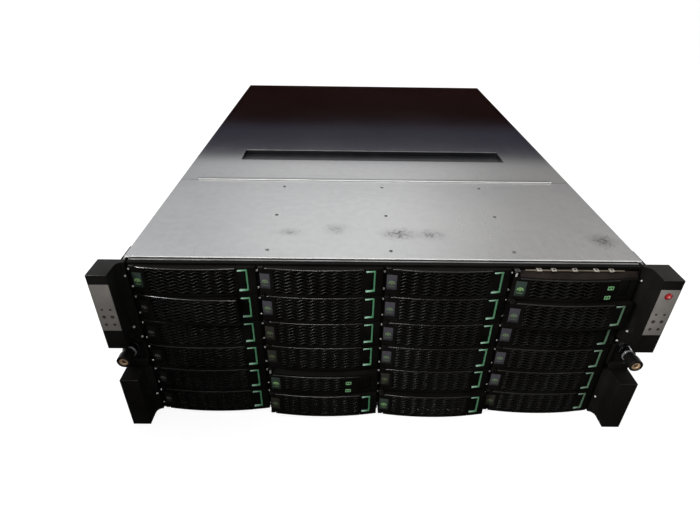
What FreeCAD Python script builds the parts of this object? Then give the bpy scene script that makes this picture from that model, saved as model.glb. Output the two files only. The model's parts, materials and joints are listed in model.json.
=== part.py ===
import FreeCAD, Part
import math
import os

# A four-unit rack storage array: 24 drive carriers with swing handles in front,
# two controllers and two power supplies behind, under a split top cover.
# Millimetres. X to the right, Y to the back, Z up. While it is built, y = 0 is the
# front edge of the chassis walls; every node is moved at the end so that the origin
# lies under the middle of the whole object.

# Drive and carrier tray
DRIVE_WIDTH = 101.6
DRIVE_HEIGHT = 26.1
DRIVE_LENGTH = 147.0
DRIVE_START = 18.0
TRAY_WALL = 0.8
TRAY_FLOOR = 0.9
TRAY_WALL_HEIGHT = 20.0
RUNNER_WIDTH = 1.5
RUNNER_HEIGHT = 2.5
RUNNER_LIFT = 8.0
AIR_OVER_DRIVE = 1.7
SIDE_GAP = 0.4
LEDGE_GAP = 0.2

# Cage that holds the carriers
COLUMNS = 4
ROWS = 6
DIVIDER = 1.0
CAGE_MARGIN = 1.3
LEDGE_HEIGHT = 2.2
STRIP_FRONT = 5.5
LEDGE_START = 2.0
TOP_RAIL_DEPTH = 4.5
TOP_RAIL_THICKNESS = 1.4
CONNECTOR_DEPTH = 6.5
CONNECTOR_WIDTH = 44.0
CONNECTOR_HEIGHT = 8.0
CONNECTOR_LIFT = 6.0
MATING_GAP = 0.5
BOARD_THICKNESS = 2.4
BOARD_MARGIN = 2.0
BOARD_SLOT_WIDTH = 70.0
BOARD_SLOT_ROWS = (3, 6)
BOARD_SLOT_HEIGHT = 9.0

# Carrier front, curved in plan
FRONT_REACH = 7.5
FRONT_SAG = 4.5
FRONT_FACET = 29.0
ROW_GAP = 0.7
STRIP_GAP = 0.5
PLATE_THICKNESS = 3.0
PLATE_VENT_BORDER = 4.5
LATCH_WIDTH = 16.0
LATCH_GAP = 0.5
BRACKET_WIDTH = 8.2
BRACKET_HEIGHT = 21.5
BRACKET_BAR = 1.7
BRACKET_RAISE = 1.5
BRACKET_PROUD = 0.5
BRACKET_DEPTH = 2.5
PAD_GAP = 0.3

# Swing handle with its hinge and grille
HINGE_INSET = 2.4
HINGE_DEPTH = 2.2
BARREL_RADIUS = 2.2
BARREL_GAP = 0.4
PIN_RADIUS = 0.9
PIN_GAP = 0.3
PIN_FLAT_COUNT = 6
BARREL_FLAT_COUNT = 6
LUG_THICKNESS = 1.5
LUG_GAP = 0.3
LUG_REACH = 1.7
LUG_CHAMFER = 1.2
HANDLE_BACK = 4.5
HANDLE_GAP = 2.9
GRILLE_START = 13.0
GRILLE_END = 1.4
GRILLE_BORDER = 1.6
SLATS = 4
SLAT_HEIGHT = 2.2
HANDLE_SHELL = 2.5
FLASH_BAYS = ((2, 5), (4, 1))
FLASH_DROP = 6.0
AJAR_BAY = (1, 2)
AJAR_ANGLE = 4.0
LOOSE_REACH = 6.0
EASED_REACH = 2.8
FREED_REACH = 7.5
STANDING_OUT = {(2, 6): LOOSE_REACH, (3, 6): LOOSE_REACH, (2, 5): EASED_REACH, (4, 1): EASED_REACH,
                (4, 2): FREED_REACH}

# Chassis sheet metal
SHEET = 1.2
SIDE_SPACE = 3.5
BAY_MARGIN = 1.9
REAR_LENGTH = 470.0
FLANGE_WIDTH = 10.0
FLANGE_START = 12.0
COVER_START = 4.0
COVER_FOLD = 1.7
SEAM_GAP = 0.5
HEM_INSET = 19.4
HEM_DEPTH = 5.0
RECESS_START = 65.0
RECESS_LENGTH = 36.0
RECESS_SLOPE = 8.0
RECESS_DEPTH = 6.0
RECESS_HALF_WIDTH = 165.0

# Rack ears
EAR_WIDTH = 19.3
EAR_REACH = 27.0
EAR_STEP = 2.0
EAR_WEB_REACH = 7.0
EAR_FILLET = 6.0
EAR_EDGE = 1.5
EAR_FLANGE = 2.5
EAR_FLANGE_INSET = 1.0
EAR_LEG = 2.0
EAR_LEG_LENGTH = 23.0
NOTCH_BELOW = 22.0
NOTCH_ABOVE = 17.5
NOTCH_WEB = 2.0
PANEL_BORDER = 0.6
PANEL_TOP = 8.0
PANEL_HEIGHT = 48.0
PANEL_THICKNESS = 1.0
PANEL_PROUD = 0.2

# Thumbscrews and power button
SCREW_INSET = 8.8
SCREW_HEIGHT = 82.0
SCREW_RADIUS = 2.4
SCREW_NECK = 2.0
SCREW_SHOULDER = 0.5
SCREW_TIP = 10.0
SCREW_GAP = 0.3
KNOB_RADIUS = 6.3
KNOB_LENGTH = 13.0
KNOB_FLAT_COUNT = 12
NECK_FLAT_COUNT = 8
KNOB_CUP_RADIUS = 4.6
KNOB_CUP_DEPTH = 2.0
SCREW_HEAD_RADIUS = 4.4
SCREW_HEAD = 1.2
FERRULE_RADIUS = 6.6
FERRULE_LENGTH = 10.5
FERRULE_GAP = 0.5
BUTTON_RADIUS = 3.6
BUTTON_FLAT_COUNT = 12
BUTTON_GAP = 0.3
BUTTON_DROP = 6.5
BUTTON_PROUD = 1.4
BUTTON_LENGTH = 4.0
BUTTON_TRAVEL = 1.2

# Rear modules
MODULE_GAP = 0.4
SHELF = 1.0
SUPPLY_HEIGHT = 42.0
SUPPLY_LENGTH = 330.0
CONTROLLER_LENGTH = 450.0
REAR_STEP = 5.0
PULL_REACH = 18.0
PULL_BAR = 5.0
PULL_WIDTH = 8.0
PULL_SPAN = 34.0
PULL_INSET = 10.0
PORT_DEPTH = 14.0
PORT_WIDTH = 13.5
PORT_HEIGHT = 11.0
PORT_PITCH = 22.0
PORTS = 4
BLANK_WIDTH = 92.0
BLANK_HEIGHT = 13.0
BLANK_PROUD = 0.8
BLANK_PITCH = 18.0
BLANKS = 3
INLET_WIDTH = 27.5
INLET_HEIGHT = 20.0
INLET_DEPTH = 16.0
INLET_INSET = 60.0
FAN_RADIUS = 17.5
FAN_DEPTH = 4.0
FAN_PITCH = 42.0

# Worked out from the sizes above
column_pitch = DRIVE_WIDTH + 2 * (TRAY_WALL + RUNNER_WIDTH + SIDE_GAP) + DIVIDER
row_pitch = TRAY_FLOOR + DRIVE_HEIGHT + AIR_OVER_DRIVE
chassis_height = ROWS * row_pitch + 2 * BAY_MARGIN
cage_half = COLUMNS * column_pitch / 2 + CAGE_MARGIN
inner_half = cage_half + SIDE_SPACE
outer_half = inner_half + SHEET
cover_under = chassis_height - SHEET
drive_end = DRIVE_START + DRIVE_LENGTH
board_front = drive_end + MATING_GAP + CONNECTOR_DEPTH
rear_end = board_front + REAR_LENGTH
module_end = rear_end - REAR_STEP
bezel_half = column_pitch / 2 - DIVIDER / 2 - STRIP_GAP
bezel_height = row_pitch - ROW_GAP
arc_radius = (bezel_half ** 2 + FRONT_SAG ** 2) / (2 * FRONT_SAG)
tray_half = DRIVE_WIDTH / 2 + TRAY_WALL
hinge_x = HINGE_INSET - bezel_half
hinge_y = HINGE_DEPTH - FRONT_REACH - BARREL_GAP
plate_front = HANDLE_GAP - HANDLE_BACK
handle_end = bezel_half - LATCH_WIDTH - LATCH_GAP
rack_half = outer_half + EAR_WIDTH
ear_inner = outer_half + EAR_STEP
screw_x = rack_half - SCREW_INSET
pull_back = module_end + PULL_REACH


def vec(x, y, z):
    return FreeCAD.Vector(x, y, z)


def box(x0, x1, y0, y1, z0, z1):
    return Part.makeBox(x1 - x0, y1 - y0, z1 - z0, vec(x0, y0, z0))


def prism(points, run):
    """A straight-sided outline, closed and swept along a vector."""
    corners = [vec(*point) for point in points]
    return Part.Face(Part.makePolygon(corners + corners[:1])).extrude(run)


def merged(first, *others):
    return first.fuse(list(others)).removeSplitter()


def rod(radius, x, z, y0, y1):
    """A round bar along Y."""
    return Part.makeCylinder(radius, y1 - y0, vec(x, y0, z), vec(0, 1, 0))


def flat_sided(radius, flats, x, y, z0, z1):
    """An upright bar with even flats in place of a round side."""
    turns = [2 * math.pi * (flat + 0.5) / flats for flat in range(flats)]
    outline = [(x + radius * math.cos(turn), y + radius * math.sin(turn), z0) for turn in turns]
    return prism(outline, vec(0, 0, z1 - z0))


def fluted(radius, flats, x, z, y0, y1):
    """The same bar laid along Y."""
    bar = flat_sided(radius, flats, 0, 0, 0, y1 - y0)
    bar.rotate(vec(0, 0, 0), vec(1, 0, 0), -90)
    return bar.translated(vec(x, y0, z))


def mirrored(shape):
    return shape.mirror(vec(0, 0, 0), vec(1, 0, 0))


def front_y(x, proud=0.0):
    """Where the curved carrier front lies, in plan, at one x."""
    radius = arc_radius + proud
    return arc_radius - FRONT_REACH - FRONT_SAG - math.sqrt(radius ** 2 - x ** 2)


def front_line(x0, x1, proud=0.0):
    """Points along the curved front from x0 to x1, at even steps of about one facet."""
    steps = max(1, round((x1 - x0) / FRONT_FACET))
    places = [x0 + (x1 - x0) * step / steps for step in range(steps + 1)]
    return [(x, front_y(x, proud)) for x in places]


def curved_block(x0, x1, back, z0, z1, proud=0.0):
    """A block whose front follows the carrier's curve and whose back is flat."""
    outline = front_line(x0, x1, proud) + [(x1, back), (x0, back)]
    return prism([(x, y, z0) for x, y in outline], vec(0, 0, z1 - z0))


def bay_place(column, row):
    """The middle of a bay's underside; columns run left to right, rows top to bottom."""
    x = (column - 0.5 - COLUMNS / 2) * column_pitch
    return vec(x, 0, BAY_MARGIN + (ROWS - row) * row_pitch)


# Carrier pieces, built round the middle of a bay's underside

bezel_low = ROW_GAP / 2
bezel_high = bezel_low + bezel_height
tray_low = ROW_GAP / 2 + LEDGE_GAP
drive_low = tray_low + TRAY_FLOOR
runner_low = tray_low + RUNNER_LIFT


def hinge_lug(z0):
    """An ear on the fixed front, chamfered outside, that holds one end of the hinge pin."""
    left = -bezel_half
    right = hinge_x + HINGE_INSET - LUG_GAP
    front = hinge_y - LUG_REACH
    outline = [(left, plate_front, z0), (left, front + LUG_CHAMFER, z0), (left + LUG_CHAMFER, front, z0),
               (right, front, z0), (right, plate_front, z0)]
    return prism(outline, vec(0, 0, LUG_THICKNESS))


def bracket_outline(drop):
    """Left, right, low and high edges of the release bracket on the latch block."""
    left = handle_end + LATCH_GAP + PAD_GAP + BRACKET_BAR / 2
    border = (bezel_height - BRACKET_HEIGHT) / 2
    low, high = bezel_low + border, bezel_high - drop - border
    return left, left + BRACKET_WIDTH, low + BRACKET_RAISE, high + BRACKET_RAISE


def bracket_seat():
    return front_y(bracket_outline(0.0)[1]) + BRACKET_DEPTH


def fixed_front(drop):
    """The carrier's fixed front: back plate with a vent, latch block, hinge ears and hinge pin."""
    plate_back = plate_front + PLATE_THICKNESS
    plate = box(-bezel_half, bezel_half, plate_front, plate_back, bezel_low, bezel_high)
    block = curved_block(handle_end + LATCH_GAP, bezel_half, plate_front, bezel_low, bezel_high - drop)
    lugs = [hinge_lug(bezel_low), hinge_lug(bezel_high - LUG_THICKNESS)]
    pin = flat_sided(PIN_RADIUS, PIN_FLAT_COUNT, hinge_x, hinge_y, bezel_low, bezel_high)
    vent = box(GRILLE_START - bezel_half, handle_end - PLATE_VENT_BORDER,
               plate_front, plate_back, bezel_low + PLATE_VENT_BORDER, bezel_high - PLATE_VENT_BORDER)
    left, right, low, high = bracket_outline(drop)
    seat = box(left, right, -FRONT_REACH - FRONT_SAG, bracket_seat(), low, high)
    return merged(plate, block, pin, *lugs).cut([vent, seat])


def release_bracket():
    """The bracket round the release pad, open towards the grille."""
    left, right, low, high = bracket_outline(0.0)
    whole = curved_block(left, right, bracket_seat(), low, high, BRACKET_PROUD)
    inside = box(left, right - BRACKET_BAR, -FRONT_REACH - 2 * FRONT_SAG, bracket_seat(),
                 low + BRACKET_BAR, high - BRACKET_BAR)
    return whole.cut(inside)


def release_pad(drop, edge):
    """The pad that a finger presses, set in from the edges of its seat."""
    left, right, low, high = bracket_outline(drop)
    return curved_block(left, right - edge, bracket_seat(), low + edge, high - edge)


def carrier_tray():
    """Folded tray: floor, side walls and the runners that ride the cage's ledges."""
    wall_top = tray_low + TRAY_WALL_HEIGHT
    runner_high = runner_low + RUNNER_HEIGHT
    edge = tray_half + RUNNER_WIDTH
    start = plate_front + PLATE_THICKNESS
    half = [(tray_half, tray_low), (tray_half, runner_low), (edge, runner_low), (edge, runner_high),
            (tray_half, runner_high), (tray_half, wall_top), (tray_half - TRAY_WALL, wall_top),
            (tray_half - TRAY_WALL, drive_low)]
    right = [(x, start, z) for x, z in half]
    left = [(-x, start, z) for x, z in reversed(half)]
    return prism(right + left, vec(0, drive_end - start, 0))


def drive():
    half = DRIVE_WIDTH / 2
    return box(-half, half, DRIVE_START, drive_end, drive_low, drive_low + DRIVE_HEIGHT)


def grille_slots(x0, x1, low, high):
    """Level gaps between the slats, right through the curved front."""
    gap = (high - low - SLATS * SLAT_HEIGHT) / (SLATS + 1)
    pitch = gap + SLAT_HEIGHT
    front = -FRONT_REACH - FRONT_SAG
    starts = [low + number * pitch for number in range(SLATS + 1)]
    return [box(x0, x1, front, 0, start, start + gap) for start in starts]


def swing_handle(drop):
    """Curved handle, hollow behind, with a hinge barrel at its left end and a slatted grille."""
    low, high = bezel_low, bezel_high - drop
    front, back = -FRONT_REACH - FRONT_SAG, -HANDLE_BACK
    plate = curved_block(hinge_x, handle_end, back, low, high)
    barrel = flat_sided(BARREL_RADIUS, BARREL_FLAT_COUNT, hinge_x, hinge_y, low, high)
    bore_radius = (PIN_RADIUS + PIN_GAP) / math.cos(math.pi / PIN_FLAT_COUNT)
    bore = flat_sided(bore_radius, PIN_FLAT_COUNT, hinge_x, hinge_y, low, high)
    notch_end = hinge_x + HINGE_INSET + LUG_GAP
    notch_depth = LUG_THICKNESS + LUG_GAP
    notches = [box(-bezel_half, notch_end, front, 0, low, low + notch_depth)]
    if drop < notch_depth:
        notches.append(box(-bezel_half, notch_end, front, 0, high - notch_depth, high))
    left, right = GRILLE_START - bezel_half, handle_end - GRILLE_END
    hollow_front = front_y(left) + HANDLE_SHELL
    hollow = box(left, right, hollow_front, back, low + GRILLE_BORDER, high - GRILLE_BORDER)
    slots = grille_slots(left, right, low + GRILLE_BORDER, high - GRILLE_BORDER)
    return merged(plate, barrel).cut([bore, hollow] + notches + slots)


def carrier_nodes():
    """Every bay's carrier and handle, moved to its place and to how far it stands out."""
    loaded = [carrier_tray(), drive()]
    framed_pad = release_pad(0.0, BRACKET_BAR + PAD_GAP)
    carrier = Part.makeCompound([fixed_front(0.0), release_bracket(), framed_pad] + loaded)
    flash = Part.makeCompound([fixed_front(FLASH_DROP), release_pad(FLASH_DROP, PAD_GAP)] + loaded)
    handle = swing_handle(0.0)
    flash_handle = swing_handle(FLASH_DROP)
    nodes = {}
    for column in range(1, COLUMNS + 1):
        for row in range(1, ROWS + 1):
            bay = (column, row)
            place = bay_place(column, row) - vec(0, STANDING_OUT.get(bay, 0.0), 0)
            swing = (flash_handle if bay in FLASH_BAYS else handle).copy()
            if bay == AJAR_BAY:
                swing.rotate(vec(hinge_x, hinge_y, 0), vec(0, 0, 1), -AJAR_ANGLE)
            nodes["carrier_c%d_r%d" % bay] = (flash if bay in FLASH_BAYS else carrier).translated(place)
            nodes["handle_c%d_r%d" % bay] = swing.translated(place)
    return nodes


# Cage, midplane and chassis

cage_top = bay_place(1, 1).z + bezel_high + ROW_GAP / 2


def divider(boundary):
    """One wall between columns: a ledge under each runner beside it, and a plain strip in front."""
    x = (boundary - COLUMNS / 2) * column_pitch
    reach = RUNNER_WIDTH + SIDE_GAP - LEDGE_GAP
    left = -cage_half if boundary == 0 else x - DIVIDER / 2
    right = cage_half if boundary == COLUMNS else x + DIVIDER / 2
    top = cage_top - (SHEET if boundary in (0, COLUMNS) else 0)
    left_side = [(left, SHEET)]
    right_side = [(right, SHEET)]
    for row in range(ROWS, 0, -1):
        high = bay_place(1, row).z + runner_low - LEDGE_GAP
        low = high - LEDGE_HEIGHT
        if boundary > 0:
            left_side += [(left, low), (left - reach, low), (left - reach, high), (left, high)]
        if boundary < COLUMNS:
            right_side += [(right, low), (right + reach, low), (right + reach, high), (right, high)]
    left_side.append((left, top))
    right_side.append((right, top))
    outline = right_side + left_side[::-1]
    wall = prism([(x, LEDGE_START, z) for x, z in outline], vec(0, board_front - LEDGE_START, 0))
    return merged(wall, box(left, right, -STRIP_FRONT, LEDGE_START, SHEET, cage_top))


def midplane():
    """The upright circuit board behind the drives, with its connectors and air slots."""
    half = inner_half - BOARD_MARGIN
    board = box(-half, half, board_front, board_front + BOARD_THICKNESS, SHEET, cage_top - BOARD_MARGIN)
    slots = []
    connectors = []
    for column in range(1, COLUMNS + 1):
        for row in range(1, ROWS + 1):
            place = bay_place(column, row)
            low = place.z + drive_low + CONNECTOR_LIFT
            connectors.append(box(place.x - CONNECTOR_WIDTH / 2, place.x + CONNECTOR_WIDTH / 2,
                                  drive_end + MATING_GAP, board_front, low, low + CONNECTOR_HEIGHT))
            if row not in BOARD_SLOT_ROWS:
                continue
            slot_low = low + CONNECTOR_HEIGHT + BOARD_MARGIN
            slots.append(box(place.x - BOARD_SLOT_WIDTH / 2, place.x + BOARD_SLOT_WIDTH / 2, board_front,
                             board_front + BOARD_THICKNESS, slot_low, slot_low + BOARD_SLOT_HEIGHT))
    return [board.cut(slots)] + connectors


def drive_cage():
    rail = box(-cage_half, cage_half, -TOP_RAIL_DEPTH, COVER_START, cage_top, cage_top + TOP_RAIL_THICKNESS)
    walls = [divider(boundary) for boundary in range(COLUMNS + 1)]
    return Part.makeCompound(walls + [rail] + midplane())


shelf_one = SHEET + SUPPLY_HEIGHT + 2 * MODULE_GAP
recess_under = chassis_height - RECESS_DEPTH - SHEET
controller_height = (recess_under - shelf_one - 2 * SHELF - 4 * MODULE_GAP) / 2
shelf_two = shelf_one + SHELF + controller_height + 2 * MODULE_GAP


def chassis_tray():
    """Folded floor and walls with inward flanges, and the shelves of the rear bays."""
    top = cover_under
    inside = inner_half - FLANGE_WIDTH
    half = [(outer_half, 0), (outer_half, top), (inside, top), (inside, top - SHEET),
            (inner_half, top - SHEET), (inner_half, SHEET)]
    right = [(x, 0, z) for x, z in half]
    left = [(-x, 0, z) for x, z in reversed(half)]
    shell = prism(right + left, vec(0, rear_end, 0))
    clear = box(-inner_half, inner_half, 0, FLANGE_START, SHEET, top)
    start = module_end - CONTROLLER_LENGTH
    levels = (shelf_one, shelf_two)
    shelves = [box(-inner_half, inner_half, start, module_end, z, z + SHELF) for z in levels]
    middle = box(-SHELF / 2, SHELF / 2, module_end - SUPPLY_LENGTH, module_end, SHEET, shelf_one)
    return Part.makeCompound([shell.cut(clear)] + shelves + [middle])


def front_cover():
    """Top sheet over the drives, with its front edge folded down."""
    back = board_front - SEAM_GAP
    fold = chassis_height - COVER_FOLD
    front = COVER_START
    sheet = box(-outer_half, outer_half, front, back, cover_under, chassis_height)
    return merged(sheet, box(-inner_half, inner_half, front, front + SHEET, fold, cover_under))


def rear_cover():
    """Sliding top sheet with a raised hem at the seam and a drawn finger recess."""
    top = chassis_height
    sheet = box(-outer_half, outer_half, board_front, rear_end, cover_under, top)
    hem_half = outer_half - HEM_INSET
    hem = box(-hem_half, hem_half, board_front, board_front + HEM_DEPTH, top, top + SHEET)
    start = board_front + RECESS_START
    end = start + RECESS_LENGTH
    floor = top - RECESS_DEPTH
    hollow = [(start, top), (start + RECESS_SLOPE, floor), (end, floor), (end, top)]
    under = floor - SHEET
    skin = [(start - SHEET, top), (start + RECESS_SLOPE - SHEET, under), (end + SHEET, under),
            (end + SHEET, top)]
    reach = RECESS_HALF_WIDTH
    pan = prism([(-reach - SHEET, y, z) for y, z in skin], vec(2 * (reach + SHEET), 0, 0))
    cut = prism([(-reach, y, z) for y, z in hollow], vec(2 * reach, 0, 0))
    return merged(sheet, hem, pan).cut(cut)


# Rack ears, thumbscrews and power button

def ear_moulding():
    """Right-hand ear: a block with a notch for the thumbscrew and a filleted web to the chassis."""
    web = ear_inner - EAR_FILLET
    turn = -EAR_WEB_REACH - EAR_FILLET
    diagonal = EAR_FILLET * math.sqrt(0.5)
    fillet = Part.Arc(vec(ear_inner, turn, 0), vec(web + diagonal, turn + diagonal, 0),
                      vec(web, -EAR_WEB_REACH, 0)).toShape()
    before = Part.makePolygon([vec(web, -EAR_WEB_REACH, 0), vec(web, -EAR_FLANGE, 0),
                               vec(rack_half, -EAR_FLANGE, 0), vec(rack_half, -EAR_REACH, 0),
                               vec(ear_inner, -EAR_REACH, 0), vec(ear_inner, turn, 0)])
    block = Part.Face(Part.Wire([fillet] + before.Edges)).extrude(vec(0, 0, chassis_height))
    notch = box(web + NOTCH_WEB, rack_half, -EAR_REACH, -EAR_FLANGE,
                SCREW_HEIGHT - NOTCH_BELOW, SCREW_HEIGHT + NOTCH_ABOVE)
    block = block.cut(notch)
    levels = (chassis_height, SCREW_HEIGHT - NOTCH_BELOW)
    edges = [edge for edge in block.Edges
             if edge.BoundBox.YMax < EAR_EDGE - EAR_REACH
             and any(abs(edge.BoundBox.ZMin - z) + abs(edge.BoundBox.ZMax - z) < EAR_EDGE for z in levels)]
    return block.makeFillet(EAR_EDGE, edges)


def panel_edges():
    high = chassis_height - PANEL_TOP
    return ear_inner + PANEL_BORDER, rack_half - PANEL_BORDER, high - PANEL_HEIGHT, high


def ear_panel():
    left, right, low, high = panel_edges()
    front = -EAR_REACH - PANEL_PROUD
    return box(left, right, front, front + PANEL_THICKNESS, low, high)


def button_axis():
    left, right, low, high = panel_edges()
    return (left + right) / 2, high - BUTTON_DROP


def ear_flange():
    """Steel angle behind the moulding: the face that meets the rack, and a leg on the side wall."""
    out = rack_half - EAR_FLANGE_INSET
    high = chassis_height - EAR_FLANGE_INSET
    plate = box(outer_half, out, -EAR_FLANGE, 0, EAR_FLANGE_INSET, high)
    leg = box(outer_half, outer_half + EAR_LEG, 0, EAR_LEG_LENGTH, EAR_FLANGE_INSET, high)
    hole = rod(SCREW_RADIUS + SCREW_GAP, screw_x, SCREW_HEIGHT, -EAR_FLANGE, 0)
    return merged(plate, leg).cut(hole)


def ferrule():
    front = -EAR_FLANGE - FERRULE_LENGTH
    ring = fluted(FERRULE_RADIUS, KNOB_FLAT_COUNT, screw_x, SCREW_HEIGHT, front, -EAR_FLANGE)
    return ring.cut(rod(SCREW_RADIUS + SCREW_GAP, screw_x, SCREW_HEIGHT, front, -EAR_FLANGE))


def rack_ears():
    """Both ears; the right one has the hole for the power button."""
    x, z = button_axis()
    well = -EAR_REACH + BUTTON_LENGTH - BUTTON_PROUD + BUTTON_TRAVEL + BUTTON_GAP
    hole = fluted(BUTTON_RADIUS + BUTTON_GAP, BUTTON_FLAT_COUNT, x, z, -EAR_REACH - PANEL_PROUD, well)
    moulding = ear_moulding().cut(ear_panel())
    pieces = [mirrored(shape) for shape in (moulding, ear_panel(), ear_flange(), ferrule())]
    pieces += [moulding.cut(hole), ear_panel().cut(hole), ear_flange(), ferrule()]
    return Part.makeCompound(pieces)


def thumbscrew(side):
    """Captive screw: a fluted knob with a cupped end, a head in the cup, a thin neck and a shank."""
    x = side * screw_x
    back = -EAR_FLANGE - FERRULE_LENGTH - FERRULE_GAP
    front = back - KNOB_LENGTH
    floor = front + KNOB_CUP_DEPTH
    cup = fluted(KNOB_CUP_RADIUS, KNOB_FLAT_COUNT, x, SCREW_HEIGHT, front, floor)
    knob = fluted(KNOB_RADIUS, KNOB_FLAT_COUNT, x, SCREW_HEIGHT, front, back).cut(cup)
    head = fluted(SCREW_HEAD_RADIUS, KNOB_FLAT_COUNT, x, SCREW_HEIGHT, floor - SCREW_HEAD, floor)
    neck = fluted(SCREW_NECK, NECK_FLAT_COUNT, x, SCREW_HEIGHT, back, SCREW_SHOULDER)
    shank = merged(neck, rod(SCREW_RADIUS, x, SCREW_HEIGHT, SCREW_SHOULDER, SCREW_TIP))
    return Part.makeCompound([knob, head, shank])


def power_button():
    x, z = button_axis()
    front = -EAR_REACH - BUTTON_PROUD
    return fluted(BUTTON_RADIUS, BUTTON_FLAT_COUNT, x, z, front, front + BUTTON_LENGTH)


# Rear modules

def pull(x, z, across):
    """A fixed pull loop on a module's rear face; its long side lies along X or along Z."""
    long = PULL_SPAN / 2
    half = PULL_WIDTH / 2
    outer = box(-long, long, module_end, pull_back, -half, half)
    inner = box(PULL_BAR - long, long - PULL_BAR, module_end, pull_back - PULL_BAR, -half, half)
    loop = outer.cut(inner)
    if not across:
        loop.rotate(vec(0, 0, 0), vec(0, 1, 0), 90)
    return loop.translated(vec(x, 0, z))


def hollow_case(x0, x1, length, bulkhead, z0, z1):
    """A closed sheet case, with a thicker rear end that the sockets are sunk in."""
    start = module_end - length
    back = module_end - bulkhead - SHEET
    inside = box(x0 + SHEET, x1 - SHEET, start + SHEET, back, z0 + SHEET, z1 - SHEET)
    return box(x0, x1, start, module_end, z0, z1).cut(inside)


def controller(low):
    """A controller canister: closed box, network ports, blanked slots and two pull loops."""
    half = inner_half - MODULE_GAP
    high = low + controller_height
    body = hollow_case(-half, half, CONTROLLER_LENGTH, PORT_DEPTH, low, high)
    middle = (low + high) / 2
    ports = []
    for number in range(PORTS):
        x = (number + 0.5) * PORT_PITCH
        ports.append(box(x - PORT_WIDTH / 2, x + PORT_WIDTH / 2, module_end - PORT_DEPTH, module_end,
                         middle - PORT_HEIGHT / 2, middle + PORT_HEIGHT / 2))
    blanks = []
    for number in range(BLANKS):
        z = middle + (number - (BLANKS - 1) / 2) * BLANK_PITCH
        blanks.append(box(-PORT_PITCH - BLANK_WIDTH, -PORT_PITCH, module_end, module_end + BLANK_PROUD,
                          z - BLANK_HEIGHT / 2, z + BLANK_HEIGHT / 2))
    reach = half - PULL_INSET - PULL_WIDTH / 2
    pulls = [pull(x, middle, False) for x in (-reach, reach)]
    return Part.makeCompound([merged(body, *blanks).cut(ports)] + pulls)


def power_supply(side):
    """A power supply: closed box with a mains inlet, a fan well and a pull loop."""
    near = SHELF / 2 + MODULE_GAP
    far = inner_half - MODULE_GAP
    low = SHEET + MODULE_GAP
    high = low + SUPPLY_HEIGHT
    middle = (low + high) / 2
    body = hollow_case(near, far, SUPPLY_LENGTH, INLET_DEPTH, low, high)
    inlet_x = far - INLET_INSET
    inlet = box(inlet_x - INLET_WIDTH / 2, inlet_x + INLET_WIDTH / 2, module_end - INLET_DEPTH, module_end,
                middle - INLET_HEIGHT / 2, middle + INLET_HEIGHT / 2)
    fan = rod(FAN_RADIUS, near + FAN_PITCH, middle, module_end - FAN_DEPTH, module_end)
    loop = pull((near + FAN_PITCH + FAN_RADIUS + inlet_x - INLET_WIDTH / 2) / 2, middle, True)
    supply = Part.makeCompound([body.cut([inlet, fan]), loop])
    return supply if side > 0 else mirrored(supply)


def all_nodes():
    lower = shelf_one + SHELF + MODULE_GAP
    upper = shelf_two + SHELF + MODULE_GAP
    nodes = {"chassis_tray": chassis_tray(), "drive_cage": drive_cage(), "front_cover": front_cover(),
             "rear_cover": rear_cover(), "rack_ears": rack_ears(), "power_button": power_button(),
             "thumbscrew_left": thumbscrew(-1), "thumbscrew_right": thumbscrew(1),
             "controller_upper": controller(upper), "controller_lower": controller(lower),
             "psu_left": power_supply(-1), "psu_right": power_supply(1)}
    nodes.update(carrier_nodes())
    return nodes


nodes = all_nodes()
whole = Part.makeCompound(list(nodes.values())).BoundBox
to_middle = vec(0, -(whole.YMin + whole.YMax) / 2, 0)
os.makedirs("parts", exist_ok=True)
for name, shape in nodes.items():
    shape.translated(to_middle).exportStep("parts/%s.step" % name)
print("nodes", len(nodes), "size", whole.XLength, whole.YLength, whole.ZLength, "moved by", to_middle.y)
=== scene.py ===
# %% [markdown]
# # A rack storage array, piece by piece
# The array fills four units of a rack: a wall of drive carriers in front, two black ears that
# hold it in the rack, and a bare steel lid in two sheets. The solid frame gives every place and
# every joint. This lesson dresses it: each piece is shaped with bmesh operators in millimetres,
# moved once into the frame's metres, and told which body it rides on.

# %% Load the frame
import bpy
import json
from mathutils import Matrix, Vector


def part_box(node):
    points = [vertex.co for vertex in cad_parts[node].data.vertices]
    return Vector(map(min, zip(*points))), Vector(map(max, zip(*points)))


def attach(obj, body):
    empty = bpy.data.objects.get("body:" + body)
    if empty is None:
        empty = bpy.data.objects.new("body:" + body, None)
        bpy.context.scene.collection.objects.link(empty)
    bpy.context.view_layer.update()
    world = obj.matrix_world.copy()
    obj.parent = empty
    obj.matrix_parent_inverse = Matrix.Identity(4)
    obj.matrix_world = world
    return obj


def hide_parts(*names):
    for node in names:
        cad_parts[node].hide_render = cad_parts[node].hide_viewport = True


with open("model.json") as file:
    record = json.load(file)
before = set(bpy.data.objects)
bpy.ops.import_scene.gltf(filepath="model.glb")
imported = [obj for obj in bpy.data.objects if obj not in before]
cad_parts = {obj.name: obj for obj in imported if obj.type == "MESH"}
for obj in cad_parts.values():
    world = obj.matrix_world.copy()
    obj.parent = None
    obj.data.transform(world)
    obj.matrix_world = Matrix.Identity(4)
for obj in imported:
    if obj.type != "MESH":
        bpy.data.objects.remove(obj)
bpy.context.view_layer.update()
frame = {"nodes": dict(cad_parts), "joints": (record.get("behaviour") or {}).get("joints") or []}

# %% [markdown]
# ## Places
# The shapes are drawn in millimetres from the front edge of the chassis walls, because the object's
# own sizes read best that way. One matrix takes them to the frame's metres.

# %% Imports and main places
import json
import math
import bmesh
import bpy
from mathutils import Matrix, Vector

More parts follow.
